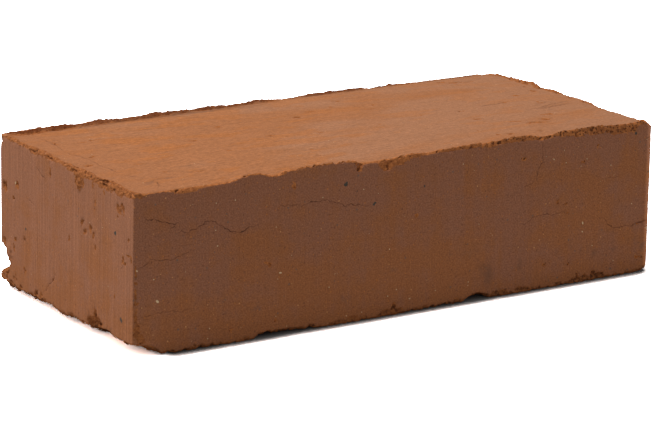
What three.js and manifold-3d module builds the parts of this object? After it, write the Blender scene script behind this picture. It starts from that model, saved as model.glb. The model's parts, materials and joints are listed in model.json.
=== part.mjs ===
// Solid clay brick: a ribbon of stiff clay pushed through a die and cut to height by a wire.
// Millimetres, +Z up. The origin is on the bottom bed, under the middle of the brick.
// X runs along the stretchers, and Y from the front stretcher to the back one.
// The die leaves the stretchers and headers flat. The wire leaves the two beds, and where it
// comes out of the clay it tears the arris and turns up a burr that stands above the top bed.

import * as THREE from 'three';
import { mergeVertices } from 'three/addons/utils/BufferGeometryUtils.js';
import Module from 'manifold-3d';

// ---- Body ----
const LENGTH = 250;
const WIDTH = 119;
const HEIGHT = 66; // bed to bed, without the burr

// ---- Upright arrises: radius in plan, left by the corners of the die ----
const NEAR_LEFT_RADIUS = 0.4;
const NEAR_RIGHT_RADIUS = 0.9;
const FAR_RIGHT_RADIUS = 10;
const FAR_LEFT_RADIUS = 0.9;

// ---- Burr and arris ----
const FULL_BURR = 0.4; // a burr lower than this fades into the plain round of the arris
const PLAIN_CREST = 0.9; // share of the way in that the plain round takes, where no burr stands
const LEAST_ARRIS = 0.4; // rounding that even an undamaged arris has
const FOOT_ROUNDNESS = 0.3; // 0 is a flat break along the foot, 1 a quarter round

// ---- Fineness of the solid ----
const STATION_SPACING = 3.2; // between profiles along a straight arris
const ARC_STEP = 2.8; // between profiles round an upright arris
const LEAST_ARC_STEPS = 2;
const FOOT_STEPS = 3; // facets across the foot

// Where the burr is highest, as a share of the way in from the outer face to its foot. At the
// back the wire folded it over, so that its inner side stands almost upright.
const BURR_CREST = { front: 0.22, right: 0.35, back: 0.88, left: 0.5 };
// How much of its height the burr keeps at the outer face.
const BURR_OUTER_SHARE = { front: 0.75, right: 0.75, back: 0.45, left: 0.75 };

// Each list below runs along one arris, as [distance from the corner it starts at, value].
// The sides follow each other counter-clockwise from above: the front from its left end, the
// right header from the front, the back from its right end, the left header from the back.

// How far the burr stands above the top bed.
const BURR_HEIGHT = {
  front: [
    [0, 0.8], [3, 0.1], [44, 0], [46.5, 1.5], [54, 1.9], [57, 1.5], [59.5, 0], [65, 0.1],
    [68, 1.7], [71, 1.1], [76, 2], [94, 2], [99, 1.4], [101.5, 0], [117, 0], [122, 0.8],
    [129, 1.1], [133.5, 0.3], [136.5, 0.2], [139, 1.2], [142, 0.7], [151, 1], [160, 1.2],
    [163, 0.7], [166, 1.3], [169, 0.9], [174, 1.6], [187, 1.2], [190.5, 0.3], [196.5, 0.4],
    [203, 1.5], [209, 1.1], [213, 1.5], [222, 1.4], [228, 0.9], [239, 0.6], [243, 1.2],
    [247, 0.4], [250, 0],
  ],
  right: [
    [0, 0], [36, 0], [41, 0.4], [56, 0.6], [60, 0.1],
    [63, 0.6], [72, 1], [76, 0.4], [80, 0.6], [87, 1.5], [92, 1], [103, 0.9], [107, 0.4],
    [112, 0.7], [119, 0.1],
  ],
  back: [
    [0, 0.9], [12, 0.6], [32, 0.4], [44, 0.5], [54, 0.7], [58, 1], [70, 0.6], [74, 1.2],
    [83, 1.2], [103, 1], [108, 0.6], [116, 0.6], [121, 1.4], [129, 1.8], [134, 1.3], [143, 1.2],
    [152, 1.7], [163, 1.4], [168, 1.6], [176, 1.5], [180, 2.1], [184, 1.6], [187, 1.2],
    [199, 1.4], [208, 2.1], [214, 1.2], [218, 1.3], [225, 1.9], [240, 1.5], [250, 1.1],
  ],
  left: [
    [0, 0.7], [12, 0.8], [17, 0.4], [25, 0.4], [31, 0.7], [36, 0.9], [43, 0.6], [50, 0.9],
    [56, 0.4], [64, 0.7], [73, 0.5], [80, 0.9], [85, 0.3], [91, 0.6], [98, 1], [105, 1.1],
    [109, 0.4], [119, 0.8],
  ],
};

// How far below its outer top edge the face is torn. Where the list is low, the skin of the
// die goes on up the outer side of the burr.
const TEAR_FALL = {
  front: [
    [0, 2.6], [4, 1.6], [6, 0.4], [15, 0.4], [18, 2.4], [27, 2.3], [31, 0.5], [102, 0.5],
    [110, 0.7], [114, 2.6], [124, 2.9], [131, 1.2], [135, 1.1], [139, 1.4], [158, 1.9],
    [166, 1.4], [174, 2.2], [186, 1.9], [192, 2], [200, 1.7], [204, 3.2], [215, 3.4],
    [222, 4.1], [228, 3.2], [232, 4.2], [241, 4], [244, 1.8], [250, 0.8],
  ],
  right: [[0, 1.8], [4, 1.4], [40, 1.2], [50, 0.8], [60, 0.5], [104, 0.5], [119, 1]],
  back: [[0, 0.9], [8, 0.5], [250, 0.4]],
  left: [
    [0, 0.6], [24, 0.7], [31, 1.6], [35, 2.2], [42, 0.8], [46, 1.7], [52, 1.5], [57, 0.8],
    [64, 2.1], [73, 2.3], [81, 1.9], [88, 2.1], [92, 3.2], [99, 3.4], [103, 2.8], [107, 3.1],
    [113, 2.6], [119, 2.2],
  ],
};

// How far in over the top bed the tear and the burr reach.
const TEAR_REACH = {
  front: [
    [0, 2], [8, 1], [16, 1.2], [22, 2], [30, 1.4], [44, 1.4], [48, 2.6], [98, 2.6],
    [103, 1.4], [118, 2.2], [166, 2.6], [242, 2.8], [250, 1.6],
  ],
  right: [[0, 1.6], [10, 2.6], [40, 2.6], [50, 1.8], [87, 2.6], [119, 2]],
  back: [
    [0, 1.2], [60, 0.8], [104, 0.9], [119, 1.8], [132, 2], [148, 2.4], [163, 2.8], [180, 3.4],
    [215, 3.7], [222, 4], [242, 4], [250, 3],
  ],
  left: [
    [0, 2.8], [20, 2], [30, 2.8], [37, 3], [45, 2.6], [57, 1.8], [65, 2.4], [80, 3],
    [86, 1.8], [93, 3], [106, 3.2], [119, 2.4],
  ],
};

// How far up the outer face the bottom arris is worn.
const FOOT_WEAR = {
  front: [
    [0, 5.4], [2, 4.4], [4.5, 2.9], [8, 2.3], [12, 1.3], [20, 1.1], [27, 0.6], [35, 1.1],
    [43, 0.4], [54, 0.5], [58, 2.4], [62, 1.6], [68, 1.8], [78, 1.1], [88, 0.5], [96, 0.4],
    [140, 0.9], [154, 0.6], [159, 2.6], [163, 2.3], [170, 0.5], [242, 0.5], [246, 0.8],
    [250, 2.4],
  ],
  right: [[0, 2.4], [4, 0.9], [60, 0.8], [119, 1]],
  back: [[0, 1], [120, 0.8], [240, 1.1], [250, 2.4]],
  left: [
    [0, 3], [14, 2.7], [20, 3.5], [31, 3.6], [42, 4.3], [54, 3.5], [66, 4], [78, 4.1],
    [86, 5.4], [96, 6.6], [107, 5.5], [119, 5.4],
  ],
};

// How far the foot is worn under, for each mm worn upwards.
const FOOT_REACH = {
  front: [[0, 1.8], [12, 1], [244, 1], [250, 1.3]],
  right: [[0, 1.3], [5, 0.9]],
  back: [[0, 0.9], [238, 0.9], [250, 1.6]],
  left: [[0, 1.6], [20, 1.9], [119, 1.9]],
};

// The tear is never even: three short waves that never line up roughen it.
const TEAR_WAVES = [
  { length: 23, share: 0.06, start: 0.4 },
  { length: 10.7, share: 0.06, start: 2.1 },
  { length: 7.3, share: 0.05, start: 4.6 },
];

// ---- Lumps broken off: the middle of each one, its three radii and its turn about Z ----
const LEFT = -LENGTH / 2;
const FRONT = -WIDTH / 2;
const BACK = WIDTH / 2;
const CHIPS = [
  { name: 'far left notch', at: [LEFT - 0.4, BACK, 13.6], radii: [11, 9.4, 5.8], turn: 12 },
  { name: 'far left foot', at: [LEFT - 0.4, BACK, 0], radii: [3.6, 9, 4.4], turn: 0 },
  { name: 'far left top', at: [LEFT, BACK, HEIGHT - 2.2], radii: [1.5, 1.6, 3], turn: 30 },
  { name: 'near right top', at: [LENGTH / 2 + 0.6, FRONT, HEIGHT + 0.6], radii: [2.6, 3.2, 2], turn: 0 },
  { name: 'near left foot', at: [LEFT, FRONT, 0], radii: [9, 7, 3.4], turn: 25 },
  { name: 'header foot notch', at: [LEFT - 0.6, FRONT + 34, 4], radii: [3.2, 5, 6], turn: 0 },
  { name: 'front notch', at: [LEFT + 102, FRONT - 0.2, HEIGHT - 0.8], radii: [1.7, 1.2, 2.6], turn: 0 },
  { name: 'front crumble', at: [LEFT + 115.5, FRONT - 2.2, HEIGHT - 2], radii: [5.6, 3.2, 4.4], turn: 0 },
  { name: 'front foot notch', at: [LEFT + 161, FRONT, -0.4], radii: [6.6, 4, 3.6], turn: 5 },
  { name: 'front foot gap', at: [LEFT + 61, FRONT - 0.4, -0.2], radii: [6, 3.6, 2.8], turn: -6 },
  { name: 'header hollow', at: [LEFT + 1.1, FRONT + 24.8, HEIGHT + 0.7], radii: [1, 4.6, 1.2], turn: 0 },
  { name: 'header bowl', at: [LEFT - 3, FRONT + 47.4, HEIGHT - 3.6], radii: [3.7, 4.4, 4.6], turn: 0 },
];

/** Value at one distance along a list of [distance, value] pairs, straight between them. */
function valueAlong(list, distance) {
  const next = list.findIndex(([place]) => place > distance);
  if (next === 0) return list[0][1];
  if (next < 0) return list[list.length - 1][1];
  const [fromPlace, fromValue] = list[next - 1];
  const [toPlace, toValue] = list[next];
  return THREE.MathUtils.mapLinear(distance, fromPlace, toPlace, fromValue, toValue);
}

/** The uneven part of a tear at one distance round the brick, as a factor near 1. */
function tearFactor(distance) {
  const wave = ({ length, share, start }) => share * Math.sin((2 * Math.PI * distance) / length + start);
  return TEAR_WAVES.reduce((factor, each) => factor + wave(each), 1);
}

/** The four upright arrises, counter-clockwise from above: signs, radius and first angle. */
const CORNERS = [
  { x: 1, y: -1, radius: NEAR_RIGHT_RADIUS, from: -Math.PI / 2 },
  { x: 1, y: 1, radius: FAR_RIGHT_RADIUS, from: 0 },
  { x: -1, y: 1, radius: FAR_LEFT_RADIUS, from: Math.PI / 2 },
  { x: -1, y: -1, radius: NEAR_LEFT_RADIUS, from: Math.PI },
];
const SIDES = [
  { name: 'front', length: LENGTH, start: CORNERS[3], end: CORNERS[0] },
  { name: 'right', length: WIDTH, start: CORNERS[0], end: CORNERS[1] },
  { name: 'back', length: LENGTH, start: CORNERS[1], end: CORNERS[2] },
  { name: 'left', length: WIDTH, start: CORNERS[2], end: CORNERS[3] },
];

/** A point of an upright arris, on the outline moved inwards by inset. turn runs from 0 to 1. */
function cornerPoint(corner, turn, inset) {
  const radius = Math.max(corner.radius - inset, corner.radius / 4);
  const angle = corner.from + (turn * Math.PI) / 2;
  const x = corner.x * (LENGTH / 2 - inset - radius) + radius * Math.cos(angle);
  const y = corner.y * (WIDTH / 2 - inset - radius) + radius * Math.sin(angle);
  return new THREE.Vector2(x, y);
}

/** Every place round the outline where a profile stands, each with a way to find its points. */
function outlineStations() {
  const stations = [];
  let sideStart = 0;
  for (const side of SIDES) {
    const straight = side.length - side.start.radius - side.end.radius;
    const steps = Math.ceil(straight / STATION_SPACING);
    for (let step = 0; step < steps; step++) {
      const share = step / steps;
      const along = side.start.radius + share * straight;
      const point = (inset) => {
        const from = cornerPoint(side.start, 1, inset);
        return from.lerp(cornerPoint(side.end, 0, inset), share);
      };
      stations.push({ side: side.name, along, round: sideStart + along, point });
    }
    const arc = (side.end.radius * Math.PI) / 2;
    const arcSteps = Math.max(LEAST_ARC_STEPS, Math.ceil(arc / ARC_STEP));
    for (let step = 0; step < arcSteps; step++) {
      const turn = step / arcSteps;
      const along = side.length - side.end.radius * (1 - turn);
      const point = (inset) => cornerPoint(side.end, turn, inset);
      stations.push({ side: side.name, along, round: sideStart + along, point });
    }
    sideStart += side.length;
  }
  return stations;
}

/**
 * Height above the top bed at one share of the way in from the outer face to the burr's foot.
 * The torn side rises in a round to the crest, and from there the burr falls to the bed.
 */
function headRise({ burr, fall, crest, outer }, share) {
  if (share >= crest) return (burr * (1 - share)) / (1 - crest);
  const climb = share / crest;
  const round = 1 - Math.sqrt(1 - (1 - climb) ** 2);
  return burr * THREE.MathUtils.lerp(outer, 1, climb) - fall * round;
}

/** The profile over one station: points from the bottom bed, up the outer face, to the top bed. */
function profileAt({ side, along, round, point }) {
  const factor = tearFactor(round);
  const burr = valueAlong(BURR_HEIGHT[side], along);
  const fall = Math.max(LEAST_ARRIS, factor * valueAlong(TEAR_FALL[side], along));
  const crest = THREE.MathUtils.lerp(PLAIN_CREST, BURR_CREST[side], Math.min(1, burr / FULL_BURR));
  const reach = factor * valueAlong(TEAR_REACH[side], along);
  const wear = Math.max(LEAST_ARRIS, factor * valueAlong(FOOT_WEAR[side], along));
  const footReach = wear * valueAlong(FOOT_REACH[side], along);
  const profile = [];
  for (let step = 0; step <= FOOT_STEPS; step++) {
    const share = step / FOOT_STEPS;
    const angle = (share * Math.PI) / 2;
    const foot = point(footReach * (1 - THREE.MathUtils.lerp(share, Math.sin(angle), FOOT_ROUNDNESS)));
    const rise = wear * THREE.MathUtils.lerp(share, 1 - Math.cos(angle), FOOT_ROUNDNESS);
    profile.push(new THREE.Vector3(foot.x, foot.y, rise));
  }
  const head = { burr, fall, crest, outer: BURR_OUTER_SHARE[side] };
  for (const share of [0, crest / 8, crest / 2, crest, (1 + crest) / 2, 1]) {
    const place = point(reach * share);
    profile.push(new THREE.Vector3(place.x, place.y, HEIGHT + headRise(head, share)));
  }
  return profile;
}

/** A closed skin over profiles that stand round a vertical axis, with both ends capped flat. */
function loft(profiles) {
  const count = profiles.length;
  const rows = profiles[0].length;
  const index = [];
  for (let column = 0; column < count; column++) {
    const next = (column + 1) % count;
    for (let row = 0; row < rows - 1; row++) {
      const [low, high] = [column * rows + row, column * rows + row + 1];
      const [nextLow, nextHigh] = [next * rows + row, next * rows + row + 1];
      index.push(low, nextLow, nextHigh, low, nextHigh, high);
    }
  }
  const cap = (row, upwards) => {
    const outline = profiles.map((profile) => new THREE.Vector2(profile[row].x, profile[row].y));
    for (const [a, b, c] of THREE.ShapeUtils.triangulateShape(outline, [])) {
      const [first, second] = upwards ? [b, c] : [c, b];
      index.push(a * rows + row, first * rows + row, second * rows + row);
    }
  };
  cap(0, false);
  cap(rows - 1, true);
  const geometry = new THREE.BufferGeometry().setFromPoints(profiles.flat());
  geometry.setIndex(index);
  return geometry;
}

/** A rough lump: a faceted ball whose points are pulled in and out, then squeezed to size. */
function lump({ radii, turn, at }) {
  const geometry = new THREE.IcosahedronGeometry(1, 1);
  const places = geometry.attributes.position;
  const corner = new THREE.Vector3();
  for (let i = 0; i < places.count; i++) {
    corner.fromBufferAttribute(places, i);
    const pull = 1 + 0.12 * Math.sin(7 * corner.x + 5 * corner.y + 9 * corner.z + at[0] + radii[0]);
    places.setXYZ(i, corner.x * pull, corner.y * pull, corner.z * pull);
  }
  geometry.scale(...radii);
  geometry.rotateZ(THREE.MathUtils.degToRad(turn));
  geometry.translate(...at);
  return geometry;
}

const wasm = await Module();
wasm.setup();

/** The solid that a closed geometry bounds, for cutting. */
function toSolid(geometry) {
  const bare = geometry.clone();
  bare.deleteAttribute('normal');
  bare.deleteAttribute('uv');
  const merged = mergeVertices(bare);
  return new wasm.Manifold(new wasm.Mesh({
    numProp: 3,
    vertProperties: new Float32Array(merged.attributes.position.array),
    triVerts: new Uint32Array(merged.index.array),
  }));
}

/** The geometry of a solid that has been cut. */
function toGeometry(solid) {
  const mesh = solid.getMesh();
  const geometry = new THREE.BufferGeometry();
  geometry.setAttribute('position', new THREE.BufferAttribute(mesh.vertProperties, 3));
  geometry.setIndex(new THREE.BufferAttribute(mesh.triVerts, 1));
  geometry.computeVertexNormals();
  return geometry;
}

const body = toSolid(loft(outlineStations().map(profileAt)));
const brickSolid = CHIPS.reduce((solid, chip) => solid.subtract(toSolid(lump(chip))), body);

const firedClay = new THREE.MeshStandardMaterial({
  color: 0x9c6040,
  roughness: 0.92,
  metalness: 0,
  flatShading: true,
});
const brick = new THREE.Mesh(toGeometry(brickSolid), firedClay);
brick.name = 'brick';

const group = new THREE.Group();
group.add(brick);
export default group;
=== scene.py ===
"""Dresses a solid wire-cut clay brick: beds dragged by the wire, die-smoothed faces, torn arrises,
drying cracks, pits and grains, and the plain studio that it lies in."""

from __future__ import annotations

import json
import logging
import math
import random
from collections.abc import Callable, Iterable
from dataclasses import dataclass
from enum import Enum
from functools import partial, reduce
from typing import Union

import bmesh
import bpy
import numpy as np
from mathutils import Matrix, Vector, noise
from mathutils.bvhtree import BVHTree


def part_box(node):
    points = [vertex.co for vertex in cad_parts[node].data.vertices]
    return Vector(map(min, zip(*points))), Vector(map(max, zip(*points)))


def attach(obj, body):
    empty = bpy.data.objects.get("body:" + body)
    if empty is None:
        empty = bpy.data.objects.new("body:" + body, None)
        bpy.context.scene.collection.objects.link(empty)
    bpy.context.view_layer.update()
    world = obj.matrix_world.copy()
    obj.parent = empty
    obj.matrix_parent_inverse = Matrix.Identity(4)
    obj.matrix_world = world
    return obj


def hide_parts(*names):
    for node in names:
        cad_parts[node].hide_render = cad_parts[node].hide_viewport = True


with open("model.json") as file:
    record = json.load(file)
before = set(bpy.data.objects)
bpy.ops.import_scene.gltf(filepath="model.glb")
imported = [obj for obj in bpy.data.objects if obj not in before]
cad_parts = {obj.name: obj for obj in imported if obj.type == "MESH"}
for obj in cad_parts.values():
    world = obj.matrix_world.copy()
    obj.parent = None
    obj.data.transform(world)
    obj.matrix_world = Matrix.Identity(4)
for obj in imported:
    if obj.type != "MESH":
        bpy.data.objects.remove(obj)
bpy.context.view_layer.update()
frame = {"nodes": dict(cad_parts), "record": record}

MM = 0.001
PER_METRE = 1000.0
FAR = 1e3
OUT_OF_REACH = 9.0
ON_PLANE = 1e-3
LEVEL = 1e-6
Array = np.ndarray
Fields = dict[str, Array]
# A Band says where a soft step starts and where it ends; it may run backwards.
Band = tuple[float, float]
log = logging.getLogger("brick")


# ---- words for places on the brick, and for what lies there ----


class Face(Enum):
    """A side of the brick: the axis that it faces, which way, and the two axes along it."""

    FRONT = (1, -1, 0, 2)
    BACK = (1, 1, 0, 2)
    LEFT = (0, -1, 1, 2)
    RIGHT = (0, 1, 1, 2)
    BOTTOM = (2, -1, 0, 1)
    TOP = (2, 1, 0, 1)

    def __init__(self, axis: int, way: int, across: int, up: int) -> None:
        """Names the numbers of a side."""
        self.axis, self.way, self.across, self.up = axis, way, across, up

    @property
    def is_bed(self) -> bool:
        """Whether the wire cut this side."""
        return self.axis == 2

    @property
    def is_header(self) -> bool:
        """Whether this is one of the two small ends."""
        return self.axis == 0


class Tone(Enum):
    """What a mark shows: broken clay, an over-fired grain, lime, a soft stain (which also paints shade
    along a shallow groove) or the plain skin.
    """

    TORN = "torn"
    DARK = "dark"
    CREAM = "cream"
    STAIN_AND_SHADE = "stain_and_shade"
    PLAIN = "plain"


@dataclass(frozen=True)
class Mark:
    """A pit, tear or grain: its middle and radii in mm along its face, its turn in degrees."""

    face: Face
    at: tuple[float, float]
    radii: tuple[float, float]
    turn: float
    depth: float
    tone: Tone = Tone.TORN

    def ring(self, spots: Array) -> Array:
        """How far out from the middle each spot on the face lies, with 1 at the rim.

        Args:
            spots: Points on the face in mm, one to a row.

        Returns:
            How many radii each spot is from the middle.
        """
        turn = math.radians(self.turn)
        away = spots - np.array(self.at)
        along = away[:, 0] * math.cos(turn) + away[:, 1] * math.sin(turn)
        beside = away[:, 1] * math.cos(turn) - away[:, 0] * math.sin(turn)
        return np.hypot(along / self.radii[0], beside / self.radii[1])


def marks_on(face: Face, tone: Tone, rows: Iterable[tuple]) -> tuple[Mark, ...]:
    """Names the marks of one tone on one face.

    Args:
        face: The face.
        tone: What the marks show.
        rows: For each mark its middle, its radii, its turn and its depth.

    Returns:
        The marks, in the same order.
    """
    return tuple(Mark(face, *row, tone) for row in rows)


@dataclass(frozen=True)
class Crack:
    """A crack or groove: how dark it is, its depth in mm, the points it runs through, its width."""

    face: Face
    strength: float
    depth: float
    points: tuple[tuple[float, float], ...]
    width: float = 0.5

    def measure(self, spots: Array) -> tuple[Array, Array]:
        """Finds how far spots on the face lie from the crack, and where along it.

        Args:
            spots: Points on the face in mm, one to a row.

        Returns:
            The distance of each spot, below zero on the right of the crack, and how far it
            is from the nearer end, measured along the crack.
        """
        points = np.array(self.points)
        start, run = points[:-1], points[1:] - points[:-1]
        lengths = np.linalg.norm(run, axis=1)
        offset = spots[:, None, :] - start[None, :, :]
        share = np.clip((offset * run).sum(axis=2) / lengths**2, 0.0, 1.0)
        gap = offset - share[:, :, None] * run
        far = np.linalg.norm(gap, axis=2)
        nearest = far.argmin(axis=1)
        rows = np.arange(len(spots))
        side = run[nearest, 0] * gap[rows, nearest, 1] - run[nearest, 1] * gap[rows, nearest, 0]
        before = np.concatenate([[0.0], np.cumsum(lengths)])
        along = before[nearest] + share[rows, nearest] * lengths[nearest]
        return np.where(side < 0, -1.0, 1.0) * far[rows, nearest], np.minimum(along, before[-1] - along)


@dataclass(frozen=True)
class Score:
    """A line that grit in the die left up a face: its place across the face, and how plain it is."""

    face: Face
    across: float
    strength: float


@dataclass(frozen=True)
class EdgeLine:
    """A line drawn along a face by heights in mm at places across it."""

    face: Face
    points: tuple[tuple[float, float], ...]

    def at(self, places: Array) -> Array:
        """The line's height at each point."""
        return np.interp(places[:, self.face.across], *np.array(self.points).T)


@dataclass(frozen=True)
class TearEdge(EdgeLine):
    """How far down from the top bed a face is torn.

    A drop below zero means that the skin of the die goes on up the side of the burr.
    """


@dataclass(frozen=True)
class FootEdge(EdgeLine):
    """How far up the foot of a face has crumbled, past its even crumbs.

    Attributes:
        reach: How far under the brick it goes, in mm.
        height: How far up the face it goes, in mm.
    """

    reach: float
    height: float


CRACKS = (
    Crack(Face.FRONT, 1, 0.6, (
        (-120.5, 56.6), (-114.1, 54.3), (-110.3, 53.3), (-107.5, 52.3), (-105.9, 52.8), (-104, 51.3))),
    Crack(Face.FRONT, 0.8, 0.75, (
        (-107, 48), (-103.9, 49.1), (-101.6, 48.3), (-98.3, 49), (-92.7, 51.5), (-88.9, 51),
        (-82.7, 46.3), (-77.3, 44.9), (-73.4, 46.5), (-67.9, 47.1))),
    Crack(Face.FRONT, 0.75, 0.7, (
        (-60.9, 53.2), (-53.1, 53.2), (-49.8, 52.1), (-45, 53.9), (-41, 52.7), (-37.7, 53),
        (-34.4, 51.1), (-29.7, 49.4), (-24.7, 49.5), (-17.3, 47.8))),
    Crack(Face.FRONT, 0.6, 0.5, (
        (-124.6, 36.3), (-120.1, 37.7), (-117, 39.7), (-108.1, 38.1), (-104.2, 39.9), (-99, 40.6))),
    Crack(Face.FRONT, 0.5, 0.5, (
        (-124.9, 16.6), (-119.7, 16.9), (-114.3, 17.8), (-106.7, 16.9), (-98, 17.4))),
    Crack(Face.FRONT, 0.6, 0.5, (
        (55.6, 30.4), (59.2, 29.9), (62.7, 32), (69, 32.4), (74.4, 32.1), (81.7, 32.6))),
    Crack(Face.FRONT, 0.8, 0.6, (
        (99.9, 27.9), (102.7, 24.9), (106.5, 21.7), (115.2, 21.4), (119.5, 22.8))),
    Crack(Face.FRONT, 1.3, 1.2, ((114, 21.4), (119.5, 22.8), (122, 22.2), (127, 23.6))),
    Crack(Face.FRONT, 0.7, 0.5, ((108.1, 35.3), (108.7, 33.8), (108.4, 31.5))),
    Crack(Face.FRONT, 0.7, 0.5, (
        (67.5, 66), (67.8, 55.9), (65.2, 51.7), (64.9, 48), (60.5, 46.3), (55, 46))),
    Crack(Face.FRONT, 0.5, 0.4, ((99.6, 44), (104, 44.4), (108.8, 43.8))),
    Crack(Face.FRONT, 0.9, 0.8, ((121.4, 58.8), (124.9, 60.2))),
    Crack(Face.LEFT, 0.8, 0.6, ((25.7, 59.3), (21.9, 57.7), (18.2, 56.7), (15.4, 55.3))),
    Crack(Face.LEFT, 0.4, 0.4, ((34.9, 44.6), (27.4, 43.3), (24.4, 40.7))),
    Crack(Face.LEFT, 1.0, 0.8, (
        (9.2, 19.9), (7.6, 18.3), (7.8, 16.7), (10.4, 14.4), (13.2, 12.4), (16, 9.6), (18.7, 8.1))),
    Crack(Face.LEFT, 0.6, 0.5, ((-47, 33.6), (-50.4, 35.5), (-52.1, 36.3))),
    Crack(Face.TOP, 0.35, 0.3, (
        (-116.9, 46.8), (-114.1, 41.6), (-114, 33.8), (-114.7, 24.8), (-115.8, 17.9))),
    Crack(Face.TOP, 0.4, 1.2, (
        (-116.4, 19.5), (-113.5, 7.2), (-112.7, -1.4), (-113.9, -10.4), (-112.9, -16.6),
        (-113, -25.3)), 1.8),
    Crack(Face.TOP, 0.4, 0.3, ((-113.2, -27.5), (-110.5, -33.2), (-107.2, -38.1))),
    Crack(Face.TOP, 0.3, 0.4, ((-110.3, -45.5), (-106.8, -41.5), (-103.2, -40.4), (-98.6, -40.7))),
    Crack(Face.TOP, 0.6, 0.3, ((92, -12.5), (100.2, -11.6), (111.1, -7.9), (119.5, -7.5))),
    Crack(Face.TOP, 0.7, 0.3, ((78, 3.8), (87.9, 4.4), (94.8, 5.1))),
    Crack(Face.TOP, 0.6, 0.3, ((99, -14.5), (106.7, -12.4), (112.3, -12.1), (118.6, -11))),
    Crack(Face.TOP, 0.3, 0.3, ((102, -3.8), (113.7, -3.5))),
    Crack(Face.TOP, 0.3, 0.3, ((82.9, 53.4), (96, 52.1), (109.6, 50.6))),
    Crack(Face.TOP, 0.55, 0.3, ((-105.6, -43.5), (-108.4, -47.9), (-110.7, -53))),
    Crack(Face.BACK, 0.8, 0.7, ((-40, 66), (-38.5, 58), (-34, 51.5), (-35.5, 44), (-31, 37.5))),
    Crack(Face.BACK, 0.7, 0.6, ((48, 25.5), (55, 27), (61.5, 24.8), (70, 26.6), (77, 24.5), (86, 25))),
    Crack(Face.RIGHT, 0.7, 0.6, ((-22, 41), (-15.5, 43.5), (-10, 42), (-2.5, 44.8), (5, 44))),
    Crack(Face.BOTTOM, 0.6, 0.5, ((-30, 24), (-12, 20), (3, 22.5), (21, 17))),
)

SCORES = tuple(Score(*each) for each in (
    (Face.LEFT, 47.5, 0.5), (Face.LEFT, 38.2, 0.6), (Face.LEFT, 26.4, 0.7), (Face.LEFT, 17.6, 0.8),
    (Face.LEFT, 10.9, 0.6), (Face.LEFT, -9.8, 1), (Face.LEFT, -12.6, 0.5), (Face.LEFT, -27.4, 0.9),
    (Face.LEFT, -31, 0.4), (Face.LEFT, -43.5, 0.5), (Face.LEFT, -53.8, 0.9), (Face.LEFT, -56.6, 0.6),
    (Face.FRONT, -92, 0.4), (Face.FRONT, -71.5, 0.3), (Face.FRONT, 22, 0.3), (Face.FRONT, 91, 0.4),
    (Face.RIGHT, -38, 0.6), (Face.RIGHT, 12.5, 0.8), (Face.BACK, -60, 0.5), (Face.BACK, 34, 0.6)))

TEAR_EDGES = (
    TearEdge(Face.FRONT, (
        (-125, 0.6), (-120, 0.2), (-82, 0.4), (-80, -1.4), (-67, -1.6), (-65, 0.4), (-58, 0.3),
        (-56, -1.4), (-50, -1.6), (-26, -1.4), (-24, 1.2), (-22, 1.5), (-20, -0.2), (-15, 0.2), (-13, 2.4),
        (-10, 2.8), (-6, 3.1), (-2, 2.6), (1, 1), (5, 0.6), (11, 0.1), (35, 0.1), (41, 0.8), (47, 0.1),
        (53, 0.2), (62, 0.4), (68, 0.4), (75, 0.2), (78, 0.8), (87, 1.5), (90, 1), (96, 2.1), (100, 1),
        (103, 3), (106, 3.5), (109, 2.5), (115, 3.5), (118, 0.2), (119, -2), (125, -2))),
    TearEdge(Face.LEFT, (
        (-59.5, 1.4), (-53, 2.1), (-47, 2.7), (-42, 2.3), (-39, 2.7), (-32, 2.8), (-28, 1.8), (-21, 1.4),
        (-16, 2.2), (-11, 1.8), (-4, 1.7), (0, 0.8), (3, 0.5), (8, 1), (15, 1.2), (18, 0.4), (22, 0.9),
        (26, 1.7), (30, 1.2), (33, 0.8), (36, 0.4), (59.5, 0.5))),
)

FOOT_EDGES = (
    FootEdge(Face.FRONT, reach=7.0, height=3.0, points=(
        (-125, 1), (-121, 1), (-117, 0.6), (-114, 0), (-104, 0), (-86, -0.4), (-83, -0.9), (-75, -1.2),
        (-71, -0.4), (-69, 0.8), (-60, 0.8), (-55, 0.5), (-44, 0.2), (-37, -0.6), (-33, -0.2), (-29, -0.9),
        (-2, -0.8), (5, -0.4), (18, 0), (28, 0), (31, 0.4), (36, 1.5), (39, 1.5), (42, -0.1), (50, -1),
        (118, -1), (125, -0.3))),
    FootEdge(Face.LEFT, reach=13.0, height=8.0, points=(
        (-59.5, 2), (-55, 1.6), (-53, 2.5), (-50, 2.1), (-46, 0.4), (-43.5, 0.4), (-42.3, 2.1), (-40, 1.4),
        (-36, 1.8), (-31, 2.3), (-27, 1.5), (-23, 0.3), (-14, 0.1), (-10.5, 1.4), (-7, 1.3), (-4, 0.5),
        (-1, 0.7), (2, 0.2), (6.5, -0.4), (9, -0.1), (12, 0.8), (15, 0.4), (19, 1.3), (22, 0.4), (27, -0.2),
        (35, -0.4), (38, 0.3), (42, 0.8), (46, 0.8), (51, 0.4), (55, -0.2), (59.5, -0.4))),
)

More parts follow.
